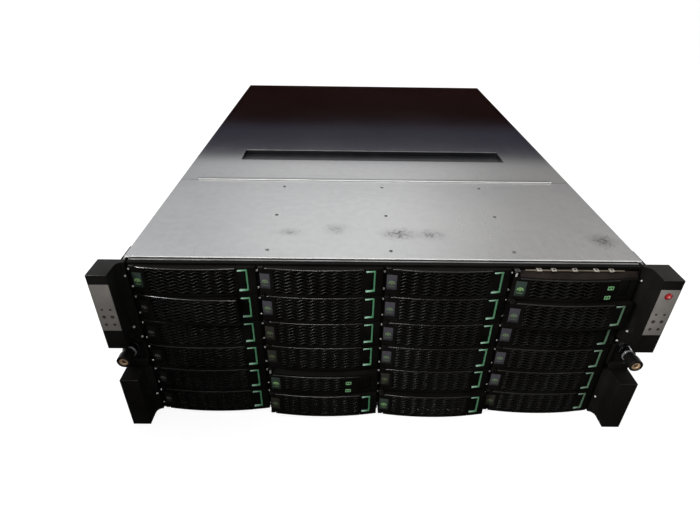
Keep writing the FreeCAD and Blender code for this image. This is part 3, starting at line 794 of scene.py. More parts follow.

# %% [markdown]
# The window is smoked plastic over a small status light. A few are lit; the rest show a faint
# arch. Each window is painted darker towards its foot, a painted shade, and the arch glows a little in
# all of them, which in an unlit window is painted light. The mark follows the window, so the finish
# reads a UV map laid over the window's face.

# %% Window finish
def window_finish(name, smoke, mark, power):
    finish = Finish(name, Roughness=0.3, Specular_IOR_Level=0.25)
    face = finish.node("ShaderNodeUVMap", {"uv_map": "window"}, {})
    across = finish.part(face, "X") - 0.5
    along = finish.part(face, "Y") - 0.42
    far = ((across * 0.56) * (across * 0.56) + along * along) ** 0.5
    arch = far.rise(0.09, 0.12) * far.rise(0.19, 0.16) * along.rise(-0.05, 0.01)
    dot = far.rise(0.07, 0.045)
    dash = abs(across).rise(0.30, 0.24) * abs(along + 0.2).rise(0.05, 0.025) * 0.35
    shape = arch + dot + dash
    cloud = finish.noise(300.0, 2.0)
    # The smoke darkens to half towards the window's foot: painted shade.
    foot = tuple(0.5 * part for part in smoke)
    base = finish.mix((0.3 * cloud + along).rise(-0.35, 0.15), foot + (1.0,), smoke + (1.0,))
    finish.set(Base_Color=finish.mix(shape, base, mark + (1.0,)))
    # The arch glows in every window; in the unlit ones this glow is painted light.
    finish.set(Emission_Color=finish.mix(shape, (0, 0, 0, 1), mark + (1.0,)))
    return finish.set(Emission_Strength=power)


windows = {
    "violet": window_finish("window_violet", (0.056, 0.054, 0.063), (0.11, 0.17, 0.08), 0.2),
    "smoke": window_finish("window_smoke", (0.030, 0.028, 0.023), (0.08, 0.11, 0.055), 0.15),
    "unlit": window_finish("window_unlit", (0.009, 0.009, 0.008), (0.09, 0.086, 0.076), 0.1),
    "lit": window_finish("window_lit", (0.036, 0.052, 0.043), (0.17, 0.31, 0.11), 0.3),
}
window_rows = {1: "lit unlit unlit unlit unlit unlit", 2: "violet violet smoke smoke lit smoke",
               3: "violet violet violet violet smoke lit", 4: "lit violet violet violet violet smoke"}
print("window finishes:", sorted(windows))

# %% [markdown]
# Twenty-two handles are alike and two are the lower kind. The tall mesh is built once and copied, which
# is quicker than shaping the slats again, and then moved to each bay. A handle that stands ajar is
# turned about its hinge by the angle that its joint gives.

# %% Build the handles
handle_finishes = [handle_black, slat_black, windows["smoke"], bead_black, mark_green]
WINDOW_SLOT = handle_finishes.index(windows["smoke"])


def handle_piece(style, mark_start=0.0):
    parts = [(handle_frame(style), handle_black), (light_window(style), windows["smoke"]),
             (handle_bead(style), bead_black)]
    parts += [(wavy_slat(style, middle), slat_black) for middle in slat_middles(style)]
    if style is FLASH:
        parts += flash_marks(mark_start)
    return lay_map(gather(handle_finishes, *parts), "window", *style["window"])


def bay_place(column, row):
    """From a bay's own millimetres to the row frame, with how far its carrier stands out."""
    low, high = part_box("carrier_c%d_r%d" % (column, row))
    out = high.y - bay_high.y
    return Matrix.Translation(((low.x + high.x) / 2, FRONT_EDGE + out, low.z)) @ Matrix.Scale(MM, 4)


def handle_height(bay):
    low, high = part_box("handle_c%d_r%d" % bay)
    return (high.z - low.z) / MM


bays = [(column, row) for column in range(1, COLUMNS + 1) for row in range(1, ROWS + 1)]
flash_bays = [bay for bay in bays if handle_height(bay) < BEZEL_HEIGHT - FLASH_DROP / 2]
tall_handle = as_mesh("tall_handle", handle_piece(TALL), handle_finishes)
mark_starts = {2: 22.2, 4: 27.2}
flash_handles = {bay: as_mesh("flash_handle", handle_piece(FLASH, mark_starts[bay[0]]), handle_finishes)
                 for bay in flash_bays}
to_hinge = Matrix.Translation((HINGE_X, HINGE_Y, 0))
for column, row in bays:
    mesh = flash_handles[column, row] if (column, row) in flash_bays else tall_handle.copy()
    mesh.materials[WINDOW_SLOT] = windows[window_rows[column].split()[row - 1]].material
    body = "handle_c%d_r%d" % (column, row)
    ajar = math.radians(min(0, joints[body.replace("handle", "swing")]["range_deg"][0]))
    swung = to_hinge @ Matrix.Rotation(ajar, 4, "Z") @ to_hinge.inverted()
    handle = place_piece("grille_" + body, mesh, body, bay_place(column, row) @ swung)
    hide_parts(body)
print("handles:", len(bays), "flash bays:", flash_bays, "faces each:", len(tall_handle.polygons))

# %% [markdown]
# ## Carrier
# Behind the handle is the fixed front with the release pad in its green bracket, then the folded
# tray with the drive in it. They move as one, so one piece holds them all, with a finish for each. The
# bracket's seat is pushed in from cells of the front's own grid, which keeps the curve round it clean.

# %% Carrier front
BLOCK_START = 36.6
PLATE_FRONT = -1.6
SEAT = (38.15, 46.35, 4.75, 26.25)
SEAT_DEPTH = 2.5
BAR = 1.4
BRACKET_PROUD = 0.5
PAD_GAP = 0.35
seat_floor = front_y(SEAT[1]) + SEAT_DEPTH


def seat_on(height):
    """The seat's left, right, low and high edges on a front of that height."""
    left, right, low, high = SEAT
    return left, right, low, height - (BEZEL_HEIGHT - high)


def latch_block(height):
    """The fixed block at the right, with a seat sunk in its curved front."""
    left, right, low, high = seat_on(height)
    x_stops = sorted([BLOCK_START, left, right] + stops(right, BEZEL_HALF, 3.0)[1:])
    bm = stop_grid(x_stops, [0, low, high, height])
    thicken(bm, front_y, lambda x: PLATE_FRONT)
    soften(bm, 0.5, 2, lambda at: at.y < PLATE_FRONT - 0.1)
    seat = [face for face in cells(bm, left, right, low, high)
            if abs(face.normal.y) > 0.9 and face.calc_center_median().y < PLATE_FRONT - 1]
    for vert in pushed(bm, seat, False):
        vert.co.y = seat_floor
    bmesh.ops.delete(bm, geom=[face for face in seat if face.is_valid], context="FACES")
    return bm


def release_bracket():
    left, right, low, high = SEAT
    bm = stop_grid([left, right - BAR, right], [low, low + BAR, high - BAR, high])
    cut_cells(bm, left, right - BAR, low + BAR, high - BAR)
    thicken(bm, lambda x: front_y(x) - BRACKET_PROUD, lambda x: seat_floor)
    soften(bm, 0.4, 2, lambda at: at.y < seat_floor - 0.5)
    return bm


def release_pad(height, edge):
    left, right, low, high = seat_on(height)
    bm = stop_grid(stops(left, right - edge, 2.0), [low + edge, high - edge])
    thicken(bm, front_y, lambda x: seat_floor)
    soften(bm, 0.9, 3, lambda at: at.y < seat_floor - 0.5)
    return bm


print("seat sunk to", round(seat_floor, 1), "mm")

# %% Plate, lugs and pin
PLATE_BACK = 1.4
PLATE_HOLE = (4.5, 23.5)
LUG_HIGH = 1.5
PIN = 0.9


def back_plate():
    left, right = TALL["grille"][0], TALL["grille"][1] - 3.0
    bm = stop_grid([-BEZEL_HALF, left, right, BEZEL_HALF], [0, *PLATE_HOLE, BEZEL_HEIGHT])
    cut_cells(bm, left, right, *PLATE_HOLE)
    thicken(bm, lambda x: PLATE_FRONT, lambda x: PLATE_BACK)
    return bm


def hinge_lug(low):
    lug = block((-BEZEL_HALF, HINGE_Y - 1.7, low), (LUG_END - 0.6, PLATE_FRONT, low + LUG_HIGH))
    soften(lug, 0.7, 2, lambda at: at.y < HINGE_Y and low + 0.2 < at.z < low + LUG_HIGH - 0.2)
    return lug


def hinge_pin():
    pin = turned([(0, 0), (PIN, 0), (PIN, BEZEL_HEIGHT), (0, BEZEL_HEIGHT)], 0, 0, 12)
    return shift(turn(pin, math.pi / 2, "X"), HINGE_X, HINGE_Y, 0)


print("plate", PLATE_BACK - PLATE_FRONT, "mm thick, pin", PIN * 2, "mm")

# %% [markdown]
# Two bays hold flash drives with a lower front. Over it lies a sloping shelf, and one of the two
# shows a strip of spring metal along its top, which earths the drive to the cage. The shelf is one
# sheet, bent by moving its rows of corners and made thick by solidify.

# %% Flash shelf and spring strip
TAB_STARTS = (-33.8, -21.3, -3.5, 14.6, 27.6)


def flash_ledge():
    """The sloping shelf over a flash drive's lower front, from the plate's top to the handle's."""
    low, high = BEZEL_HEIGHT - FLASH_DROP + 0.6, BEZEL_HEIGHT - 0.1
    bm = stop_grid(stops(LUG_END + LUG_GAP, BEZEL_HALF - 0.4, SHEET_STEP), [low, high - 1.2, high])
    for vert in bm.verts:
        vert.co.y = front_y(vert.co.x) + 1.4 if vert.co.z < low + 0.1 else PLATE_FRONT - 1.4
    bmesh.ops.solidify(bm, geom=bm.faces[:], thickness=0.6)
    bmesh.ops.recalc_face_normals(bm, faces=bm.faces[:])
    return bm


def spring_strip():
    """The springy earth strip along the top of one ledge, with five raised hollow tabs: the tabs are painted
    pale as a painted highlight, and a dark patch on each is painted shade for its hollow.
    """
    top = BEZEL_HEIGHT - 0.2
    strip = block((-43.5, PLATE_FRONT - 3.2, top - 1.0), (40.3, PLATE_FRONT - 1.8, top - 0.2), 0.15)
    parts = [(strip, spring_beige)]
    front, back = PLATE_FRONT - 4.0, PLATE_FRONT + 0.1
    for x in TAB_STARTS:
        parts.append((block((x, front, top - 0.9), (x + 4.0, back, top + 0.15), 0.2), spring_tab_highlight))
        # A dark patch on the tab stands for its hollow: painted shade.
        hollow = block((x + 1.1, front + 1.1, top), (x + 2.9, back - 1.0, top + 0.18))
        parts.append((hollow, ledge_brown))
    return parts


print("spring tabs:", len(TAB_STARTS))

# %% [markdown]
# The tray is folded from one sheet: a floor, two walls and a runner on each that slides in the cage. Its
# section never changes, so half of an outline is mirrored and pushed back. The drive is a cast case, and
# three insets of its top give the groove and the pressed lid.

# %% Tray and drive
TRAY_HALF = 51.6
TRAY_WALL = 0.8
TRAY_LOW = 0.2
RUNNER = (1.5, 8.2, 10.7)
WALL_TOP = 20.2
DRIVE_LOW = 1.1
DRIVE_HALF = 50.8
DRIVE_HEIGHT = 26.1
DRIVE_START = 18.0
DRIVE_END = (bay_high.y - FRONT_EDGE) / MM
LID_INSETS = ((3.0, 0), (0.8, -0.8), (0.8, 0.6))


def folded_tray():
    """Floor, walls and runners: half an outline, mirrored, pushed back along the drive."""
    reach, runner_low, runner_high = RUNNER
    half = [(TRAY_HALF, TRAY_LOW), (TRAY_HALF, runner_low), (TRAY_HALF + reach, runner_low),
            (TRAY_HALF + reach, runner_high), (TRAY_HALF, runner_high), (TRAY_HALF, WALL_TOP),
            (TRAY_HALF - TRAY_WALL, WALL_TOP), (TRAY_HALF - TRAY_WALL, DRIVE_LOW)]
    outline = half + [(-x, z) for x, z in reversed(half)]
    return prism([(x, PLATE_BACK, z) for x, z in outline], (0, DRIVE_END - PLATE_BACK, 0))


def drive_case():
    """The drive: a cast case with a pressed lid that stands a little proud of a groove."""
    low, high = (-DRIVE_HALF, DRIVE_START, DRIVE_LOW), (DRIVE_HALF, DRIVE_END, DRIVE_LOW + DRIVE_HEIGHT)
    bm = block(low, high)
    lid = [face for face in bm.faces if face.normal.z > 0.9]
    for thickness, depth in LID_INSETS:
        bmesh.ops.inset_region(bm, faces=lid, thickness=thickness, depth=depth)
    soften(bm, 0.5, 2)
    return bm


print("drive reaches", round(DRIVE_END, 1), "mm behind the walls' front edge")

# %% [markdown]
# The green bracket is paler at the tips of its two arms. Its colour reads a
# UV map over the seat, so the paler tips come out the same in every bay. The brackets at the right
# get less light than those at the left, so the green fades to grey across the front as painted
# shade, and a faint emission over the whole bracket is a painted glow.

# %% Latch finish
RIGHT_SHADE_SPAN = (0.03, 0.21)
RIGHT_SHADE = 0.55


def latch_finish():
    finish = Finish("latch_green", Roughness=0.3, Coat_Weight=0.3)
    face = finish.node("ShaderNodeUVMap", {"uv_map": "latch"}, {})
    tip = finish.part(face, "X").rise(0.85, 0.05)
    drift = finish.noise(90.0, 2.0)
    green = finish.mix(drift.rise(0.3, 0.7), (0.072, 0.235, 0.115, 1), (0.095, 0.28, 0.142, 1))
    pale = finish.mix(tip, green, (0.34, 0.55, 0.42, 1))
    # Towards the right the green fades to grey: painted shade where less light falls.
    shade_right = finish.axis("X").rise(*RIGHT_SHADE_SPAN) * RIGHT_SHADE
    shaded_green = finish.mix(shade_right, pale, (0.10, 0.105, 0.09, 1))
    # The faint emission is a painted glow.
    return finish.set(Base_Color=shaded_green, Emission_Color=shaded_green, Emission_Strength=0.06)


latch_green = latch_finish()
print("latch green with pale tips")

# %% [markdown]
# The carriers are built like the handles: one tall mesh to copy, and one for each flash bay. Every part
# comes with its finish, so a carrier is still a single piece, which keeps the list of pieces short.

# %% Build the carriers
carrier_finishes = [handle_black, latch_green, pad_black, stud_steel, module_zinc, drive_grey, spring_beige,
                    spring_tab_highlight, ledge_brown, bead_black]


def carrier_piece(flash, sprung=False):
    height = BEZEL_HEIGHT - (FLASH_DROP if flash else 0)
    parts = [(latch_block(height), handle_black), (back_plate(), handle_black),
             (hinge_lug(0), handle_black), (hinge_lug(BEZEL_HEIGHT - LUG_HIGH), bead_black),
             (hinge_pin(), stud_steel), (folded_tray(), module_zinc), (drive_case(), drive_grey)]
    if flash:
        parts.append((release_pad(height, PAD_GAP), pad_black))
        parts.append((flash_ledge(), ledge_brown if sprung else handle_black))
        parts += spring_strip() if sprung else []
    else:
        parts += [(release_bracket(), latch_green), (release_pad(height, BAR + PAD_GAP), pad_black)]
    return lay_map(gather(carrier_finishes, *parts), "latch", *SEAT)


tall_carrier = as_mesh("tall_carrier", carrier_piece(False), carrier_finishes)
flash_carriers = {bay: as_mesh("flash_carrier", carrier_piece(True, bay[1] == 1), carrier_finishes)
                  for bay in flash_bays}
for bay in bays:
    mesh = flash_carriers[bay] if bay in flash_bays else tall_carrier.copy()
    body = "carrier_c%d_r%d" % bay
    carrier = place_piece("loaded_" + body, mesh, body, bay_place(*bay))
    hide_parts(body)
print("carriers:", len(bays), "faces each:", len(tall_carrier.polygons))

# %% [markdown]
# ## Rack ears
# Each ear is a moulded block on a steel angle, notched where the captive screw sits. The block is
# drawn once in plan, with its concave root, extruded for the upper and lower parts, and mirrored. A
# boolean could cut the notch, but it leaves long thin faces that don't take a bevel well.

# %% Ear block
RACK_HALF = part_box("rack_ears")[1].x / MM - 0.01
EAR_INNER = SIDE + 2.0
EAR_REACH = 27.0
EAR_WEB = EAR_INNER - 6.0
WEB_REACH = 7.0
FLANGE = 2.5
NOTCH_LOW, NOTCH_HIGH = 60.0, 99.5
ear_finishes = [ear_black, panel_silver, mark_dark, stud_steel, ear_edge_highlight, cage_black]


def ear_outline():
    """The block in plan, with a quarter round where it meets its web."""
    root = EAR_INNER - EAR_WEB
    turns = [math.radians(angle) for angle in (0, 22.5, 45, 67.5, 90)]
    fillet = [(EAR_INNER - root * (1 - math.cos(angle)), -WEB_REACH - root * (1 - math.sin(angle)))
              for angle in turns]
    return [(EAR_WEB, -FLANGE), (RACK_HALF, -FLANGE), (RACK_HALF, -EAR_REACH),
            (EAR_INNER, -EAR_REACH)] + fillet


def ear_block(low, high):
    """One block; its upper front edge takes a lighter, shinier black as a painted highlight, and the lower
    one's top takes the darker cage black as painted shade under the knob.
    """
    bm = prism([(x, y, low) for x, y in ear_outline()], (0, 0, high - low))
    soften(bm, 2.0, 4, lambda at: at.y < -WEB_REACH - 5)
    bm.normal_update()
    for face in bm.faces:
        on_edge = face.normal.z > 0.3 and face.normal.y < -0.3
        # The lower block's top is darkened as painted shade under the upper block and knob.
        shaded_under_knob = face.normal.z > 0.9 and high < NOTCH_HIGH
        finish = ear_edge_highlight if on_edge else cage_black if shaded_under_knob else ear_black
        face.material_index = ear_finishes.index(finish)
    return bm


print("ears reach", round(RACK_HALF, 1), "mm each side")

# %% Ear steel, panel and screws
NOTCH_WEB = 2.0
CHEEK_LOW, CHEEK_HIGH = 67.5, 91.5
PANEL_LOW, PANEL_HIGH = 120.0, 168.0
DOT_PLACES = (EAR_INNER + 5.0, EAR_INNER + 12.0)
DOT_ROWS = ((142.6, 1.1), (135.0, 1.75), (126.8, 1.4))
WEB_HEAD = [(0, -1.2), (0.6, -1.1), (0.95, -0.7), (1.1, 0.1)]
WEB_PLACES = ((1.6, 0, 163.5), (1.2, 0, 96.5), (1.8, -0.4, 22.5))


def ear_steel():
    """The steel behind the moulding: rack face, a leg along the chassis side, and the notch's walls."""
    plate = block((SIDE, -FLANGE, 1.0), (RACK_HALF - 1.0, 0, TOP - 1.0), 0.3)
    leg = block((SIDE, 0, 1.0), (SIDE + 2.0, 23.0, TOP - 1.0), 0.3)
    web = block((EAR_WEB, -WEB_REACH, NOTCH_LOW), (EAR_WEB + NOTCH_WEB, -FLANGE, NOTCH_HIGH))
    cheeks = [block((EAR_WEB, -WEB_REACH, low), (RACK_HALF - 0.5, -FLANGE, high), 0.4)
              for low, high in ((NOTCH_LOW - 1.0, CHEEK_LOW), (CHEEK_HIGH, NOTCH_HIGH + 1.0))]
    return [(part, ear_black) for part in (plate, leg, web, *cheeks)]


def ear_panel():
    """The inset panel, with six small plain dots in two columns."""
    front = -EAR_REACH - 0.2
    plate = block((EAR_INNER + 0.6, front, PANEL_LOW), (RACK_HALF - 0.6, front + 1.2, PANEL_HIGH), 0.3)
    parts = [(plate, panel_silver)]
    for x in DOT_PLACES:
        for z, radius in DOT_ROWS:
            dot = [(0, front - 0.08), (radius, front - 0.08), (radius, front + 0.2)]
            parts.append((turned(dot, x, z, 12), mark_dark))
    return parts


def web_screws():
    """Round-headed screws on the web: three that face front and one on the hollow of the root."""
    heads = [shift(turned(WEB_HEAD, EAR_WEB + x, z, 20), 0, y - WEB_REACH, 0) for x, y, z in WEB_PLACES]
    slanted = turn(turned(WEB_HEAD, 0, 0, 20), math.radians(-45), "Z")
    heads.append(shift(slanted, EAR_INNER - 1.8, -WEB_REACH - 4.2, 111.0))
    return [(head, stud_steel) for head in heads]


print("panel dots:", len(DOT_PLACES) * len(DOT_ROWS))

# %% Build the ears
def ear_piece(side):
    blocks = [(ear_block(NOTCH_HIGH, TOP + 1.0), None), (ear_block(0, NOTCH_LOW), None)]
    bm = gather(ear_finishes, *blocks, *ear_steel(), *ear_panel(), *web_screws())
    if side < 0:
        bmesh.ops.scale(bm, vec=(-1, 1, 1), verts=bm.verts[:])
        bmesh.ops.reverse_faces(bm, faces=bm.faces[:])
    return bm


for side, name in ((-1, "left_ear"), (1, "right_ear")):
    ear = add_piece(name, ear_piece(side), ear_finishes, "chassis")
    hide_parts("rack_ears")
print("two ears in place of one node")

# %% [markdown]
# ## Captive screws and power button
# A captive screw has a black knob with a brass cup in its end, and a bright collar behind it. A lathe
# would cut each as one profile, and so does the spin operator: a profile turned about its axis has
# cleaner edges than cylinders joined together.

# %% Captive screws
screw_low, screw_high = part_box("thumbscrew_right")
SCREW_X = (screw_low.x + screw_high.x) / 2 / MM
SCREW_Z = (screw_low.z + screw_high.z) / 2 / MM
KNOB_FRONT = (screw_low.y - FRONT_EDGE) / MM
SCREW_TIP = (screw_high.y - FRONT_EDGE) / MM
KNOB = 6.3
KNOB_BACK = -13.5
COLLAR_FRONT = -13.0
knob_finishes = [ear_black, brass, mark_dark, stud_steel, brass_dark]
collar_finishes = [chrome, collar_lip_highlight]


def at_screw(x, finishes, *rows):
    """Turned pieces about one screw's line; each row is a profile, its steps and its finish."""
    parts = [(turned(profile, x, SCREW_Z, steps), finish) for profile, steps, finish in rows]
    return gather(finishes, *parts)


def captive_screw(x):
    front, back, seat = KNOB_FRONT, KNOB_BACK, KNOB_FRONT + 2.0
    knob = [(4.0, front + 1.9), (4.0, front + 0.5), (4.5, front), (5.6, front + 0.1), (KNOB, front + 0.8),
            (KNOB, back - 5.0), (5.8, back - 3.6), (5.4, back - 0.4), (5.0, back), (0, back)]
    cup = [(1.9, seat), (1.9, seat - 0.7), (2.3, seat - 1.3), (3.7, seat - 1.5), (4.0, seat - 1.1),
           (4.0, seat), (1.9, seat)]
    ring = [(1.0, seat), (1.0, seat - 0.2), (1.1, seat - 0.8), (1.9, seat - 0.7), (1.9, seat), (1.0, seat)]
    pit = [(1.05, seat - 0.2), (1.05, seat)]
    shank = [(2.0, back), (2.0, 0.5), (2.4, 0.5), (2.4, SCREW_TIP - 0.8), (1.7, SCREW_TIP)]
    return at_screw(x, knob_finishes, (knob, 40, ear_black), (cup, 40, brass), (ring, 32, brass_dark),
                    (pit, 20, mark_dark), (shank, 24, stud_steel))


def collar(x):
    """A turned collar: a broad foot, a waist and a round lip behind the knob, pale half-metal grey as a
    painted highlight on its chrome.
    """
    back, front = -FLANGE, COLLAR_FRONT
    body = [(2.8, back), (6.4, back), (6.6, back - 0.4), (6.6, back - 2.4), (5.6, back - 3.2),
            (5.6, front + 2.4), (5.0, front + 0.3), (3.2, front + 0.2), (2.8, front + 0.4), (2.8, back)]
    lip = wire_ring(5.7, front + 1.2, 0.8, 45)
    return at_screw(x, collar_finishes, (body, 36, chrome), (lip, 36, collar_lip_highlight))


for side, name in ((-1, "thumbscrew_left"), (1, "thumbscrew_right")):
    screw = add_piece("knob_" + name, captive_screw(side * SCREW_X), knob_finishes, name)
    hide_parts(name)
    add_piece("collar_" + name, collar(side * SCREW_X), collar_finishes, "chassis")
print("screws at", round(SCREW_X, 1), "mm each side")

# %% [markdown]
# The power button is a red dome in the right panel. Its finish pales towards the middle, a painted
# highlight, and darkens in the rim.

# %% Power button
button_low, button_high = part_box("power_button")
BUTTON = (button_high.x - button_low.x) / 2 / MM
BUTTON_X = (button_low.x + button_high.x) / 2 / MM
BUTTON_Z = (button_low.z + button_high.z) / 2 / MM
BUTTON_FRONT = (button_low.y - FRONT_EDGE) / MM
BUTTON_BACK = (button_high.y - FRONT_EDGE) / MM


def button_finish():
    """Red plastic, darker in its rim and paler near the middle as a painted highlight."""
    finish = Finish("button_red", Roughness=0.25, Coat_Weight=0.5)
    side = finish.axis("X") / MM - BUTTON_X
    rise = finish.axis("Z") / MM - BUTTON_Z
    far = (side * side + rise * rise) ** 0.5 + 0.5 * (finish.noise(900.0, 2.0) - 0.5)
    body = finish.mix(far.rise(2.3, 2.9), (0.42, 0.018, 0.02, 1), (0.14, 0.006, 0.008, 1))
    # The pale middle is a painted highlight.
    return finish.set(Base_Color=finish.mix(far.rise(1.7, 0.3), body, (0.80, 0.36, 0.33, 1)))


dome = [(0, BUTTON_FRONT), (1.2, BUTTON_FRONT + 0.06), (2.2, BUTTON_FRONT + 0.3), (2.8, BUTTON_FRONT + 0.7),
        (BUTTON, BUTTON_FRONT + 1.3), (BUTTON, BUTTON_BACK), (0, BUTTON_BACK)]
red_dome = turned(dome, BUTTON_X, BUTTON_Z, 36)
button = add_piece("red_button", red_dome, [button_finish()], "power_button")
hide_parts("power_button")
print("button at", round(BUTTON_X, 1), round(BUTTON_Z, 1), "mm")

# %% [markdown]
# ## Lid, cage and chassis
# The sheet metal keeps its solid shape, so it only takes finishes. Thin strips draw the edges that
# catch light: the lid's front edge, the rail under it, the hem at the seam and the finger recess. The
# solid's own edges are sharp and stay so, and each strip has softened ones that hold a highlight. The
# strips are painted near-white or light grey as a painted highlight, and the recess floor near-black
# as painted shade.

# %% Sheet metal and its edges
sheet_finishes = {"front_cover": lid_zinc, "rear_cover": rear_zinc, "chassis_tray": zinc,
                  "drive_cage": cage_black, "controller_upper": module_vented,
                  "controller_lower": module_vented, "psu_left": module_zinc, "psu_right": module_zinc}
for node, finish in sheet_finishes.items():
    frame["nodes"][node].data.materials.clear()
    frame["nodes"][node].data.materials.append(finish.material)

RAIL_TOP = TOP - 0.5
HEM_HALF = 202.5
SEAM = 172.0
RECESS_HALF = 165.0
RECESS_FRONT, RECESS_BACK = 245.0, 273.0
RECESS_FLOOR = TOP - 6.0


def strip(name, half, y_span, z_span, rounding, finish, body, slot):
    """A long block across the middle; rounding is the size and the steps of its softened edges."""
    low, high = zip((-half, half), y_span, z_span)
    add_piece(name, block(low, high, *rounding), [finish], body)


strip("lid_edge", SIDE - 0.1, (LID_FRONT - 0.1, LID_FRONT + 1.0), (TOP - 1.3, TOP + 0.05), (0.4, 3),
      edge_highlight_white, "chassis", "zinc_steel")
strip("rail_line", SIDE - 4.8, (-0.2, 1.6), (RAIL_TOP - 0.6, RAIL_TOP + 0.2), (0.25, 3),
      rail_highlight_grey, "chassis", "black_steel")
strip("seam_lip", HEM_HALF, (SEAM - 0.4, SEAM + 4.2), (TOP + 0.1, TOP + 1.2), (0.3, 3),
      edge_highlight_white, "rear_cover", "zinc_steel")
strip("recess_rim", RECESS_HALF, (RECESS_BACK - 0.3, RECESS_BACK + 1.0), (TOP - 0.6, TOP + 0.05), (0.25, 3),
      rail_highlight_grey, "rear_cover", "zinc_steel")
strip("recess_floor", RECESS_HALF - 0.1, (RECESS_FRONT + 0.2, RECESS_BACK - 0.1),
      (RECESS_FLOOR, RECESS_FLOOR + 0.3), (), recess_shade_grey, "rear_cover", "zinc_steel")
strip("front_sill", SIDE - 6.0, (-1.4, 1.0), (0.05, 1.45), (0.2,), cage_black, "chassis", "black_steel")
print("finished sheets:", len(sheet_finishes))

# %% [markdown]
# Rivets hold the lid and the sides, and bright studs show between the carriers. Each is a spun dome of
# a few dozen faces, turned to face out of its wall, and all of a kind are gathered into one piece.

# %% Rivets and studs
RIVET = [(0, -0.7), (0.9, -0.62), (1.5, -0.35), (1.8, 0.05)]
STUD = [(0, -0.9), (0.6, -0.8), (1.0, -0.4), (1.1, 0.05)]
LID_RIVET_X, LID_RIVET_Y = (-102.0, 6.5, 115.0), (17.0, 85.0, 154.5)
SIDE_RIVET_Y, SIDE_RIVET_Z = (45.0, 160.0, 290.0, 420.0, 550.0, 625.0), (14.0, 162.0)
STUD_HEIGHTS = (23.6, 6.0)
STRIP_FRONT = -5.5
COLUMN_PITCH = 108.0
rivets = []
for x in LID_RIVET_X:
    for y in LID_RIVET_Y:
        head = turn(turned(RIVET, 0, 0, 16), -math.pi / 2, "X")
        rivets.append((shift(head, x, y, TOP), rivet_grey))
side_rivets = []
for side in (-1, 1):
    for y in SIDE_RIVET_Y:
        for z in SIDE_RIVET_Z:
            head = turn(turned(RIVET, 0, 0, 16), side * math.pi / 2, "Z")
            side_rivets.append((shift(head, side * SIDE, y, z), rivet_grey))
studs = []
for boundary in range(COLUMNS):
    x = (boundary - COLUMNS / 2) * COLUMN_PITCH
    for row in range(1, ROWS + 1):
        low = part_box("carrier_c1_r%d" % row)[0].z / MM
        heads = [turned(STUD, x, low + z, 12) for z in STUD_HEIGHTS]
        studs += [(shift(head, 0, STRIP_FRONT, 0), stud_steel) for head in heads]
for name, heads, finish in (("lid_rivets", rivets, rivet_grey), ("side_rivets", side_rivets, rivet_grey),
                            ("strip_studs", studs, stud_steel)):
    add_piece(name, gather([finish], *heads), [finish], "chassis")
print("rivets:", len(rivets) + len(side_rivets), "studs:", len(studs))

# %% [markdown]
# ## Rear modules
# The photograph doesn't show the back, so it gets what such an array has: fans, mains inlets, network
# ports, small lights and screws. All of it is drawn with the rear face at zero, which keeps the sizes
# short, and moved back at the end. Inlets and ports are both lined holes, so one function makes them.

# %% Rear sizes and small shapes
supply_low, supply_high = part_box("psu_right")
SUPPLY_Z = (supply_low.z + supply_high.z) / 2 / MM
FAN_X = supply_low.x / MM + 42.0
FAN = 17.5
FAN_FLOOR = -4.0
BLADES = 7
INLET_X = supply_high.x / MM - 60.0
INLET = (27.5, 20.0, 16.0)
PINS = ((0, 2.5), (-7, -2.0), (7, -2.0))
PORT = (13.5, 11.0, 14.0)
PORTS = 4
PORT_PITCH = 22.0
LIGHT_X = 190.0


def rear_frame(x, z, wide, high, wall, low_y, high_y):
    """A rectangular collar or lining about a socket."""
    x_stops = [x - wide / 2, x - wide / 2 + wall, x + wide / 2 - wall, x + wide / 2]
    z_stops = [z - high / 2, z - high / 2 + wall, z + high / 2 - wall, z + high / 2]
    bm = stop_grid(x_stops, z_stops)
    cut_cells(bm, *x_stops[1:3], *z_stops[1:3])
    thicken(bm, lambda at: low_y, lambda at: high_y)
    return bm


def socket(x, z, size, wall, proud, lining, back):
    """A lined hole with a closed back; the last two are their finishes."""
    wide, high, deep = size
    half_x, half_z = wide / 2 - 0.1, high / 2 - 0.1
    plate = block((x - half_x, 0.05 - deep, z - half_z), (x + half_x, 0.6 - deep, z + half_z))
    return [(rear_frame(x, z, wide - 0.1, high - 0.1, wall, 0.1 - deep, proud), lining), (plate, back)]


def rear_head(x, z, radius):
    """A round screw head on a rear face."""
    return turned([(0, 1.3), (radius * 0.6, 1.2), (radius, 0.5), (radius, -0.1)], x, z, 16)


print("rear faces at", round(MODULE_END, 1), "mm, fans at", round(FAN_X, 1), "mm")

# %% [markdown]
# Each power supply draws air through a fan behind a wire guard and takes mains at an inlet with three
# pins. A guard could be bent curves, but a small circle spun about the fan's axis closes without a seam.
# The blades are one tilted plate turned round the hub.

# %% Fans and inlets
GUARD_RINGS = (5.8, 9.6, 13.4, 17.2)
SPOKES = (45, 135, 225, 315)
FAN_SCREW = 15.4


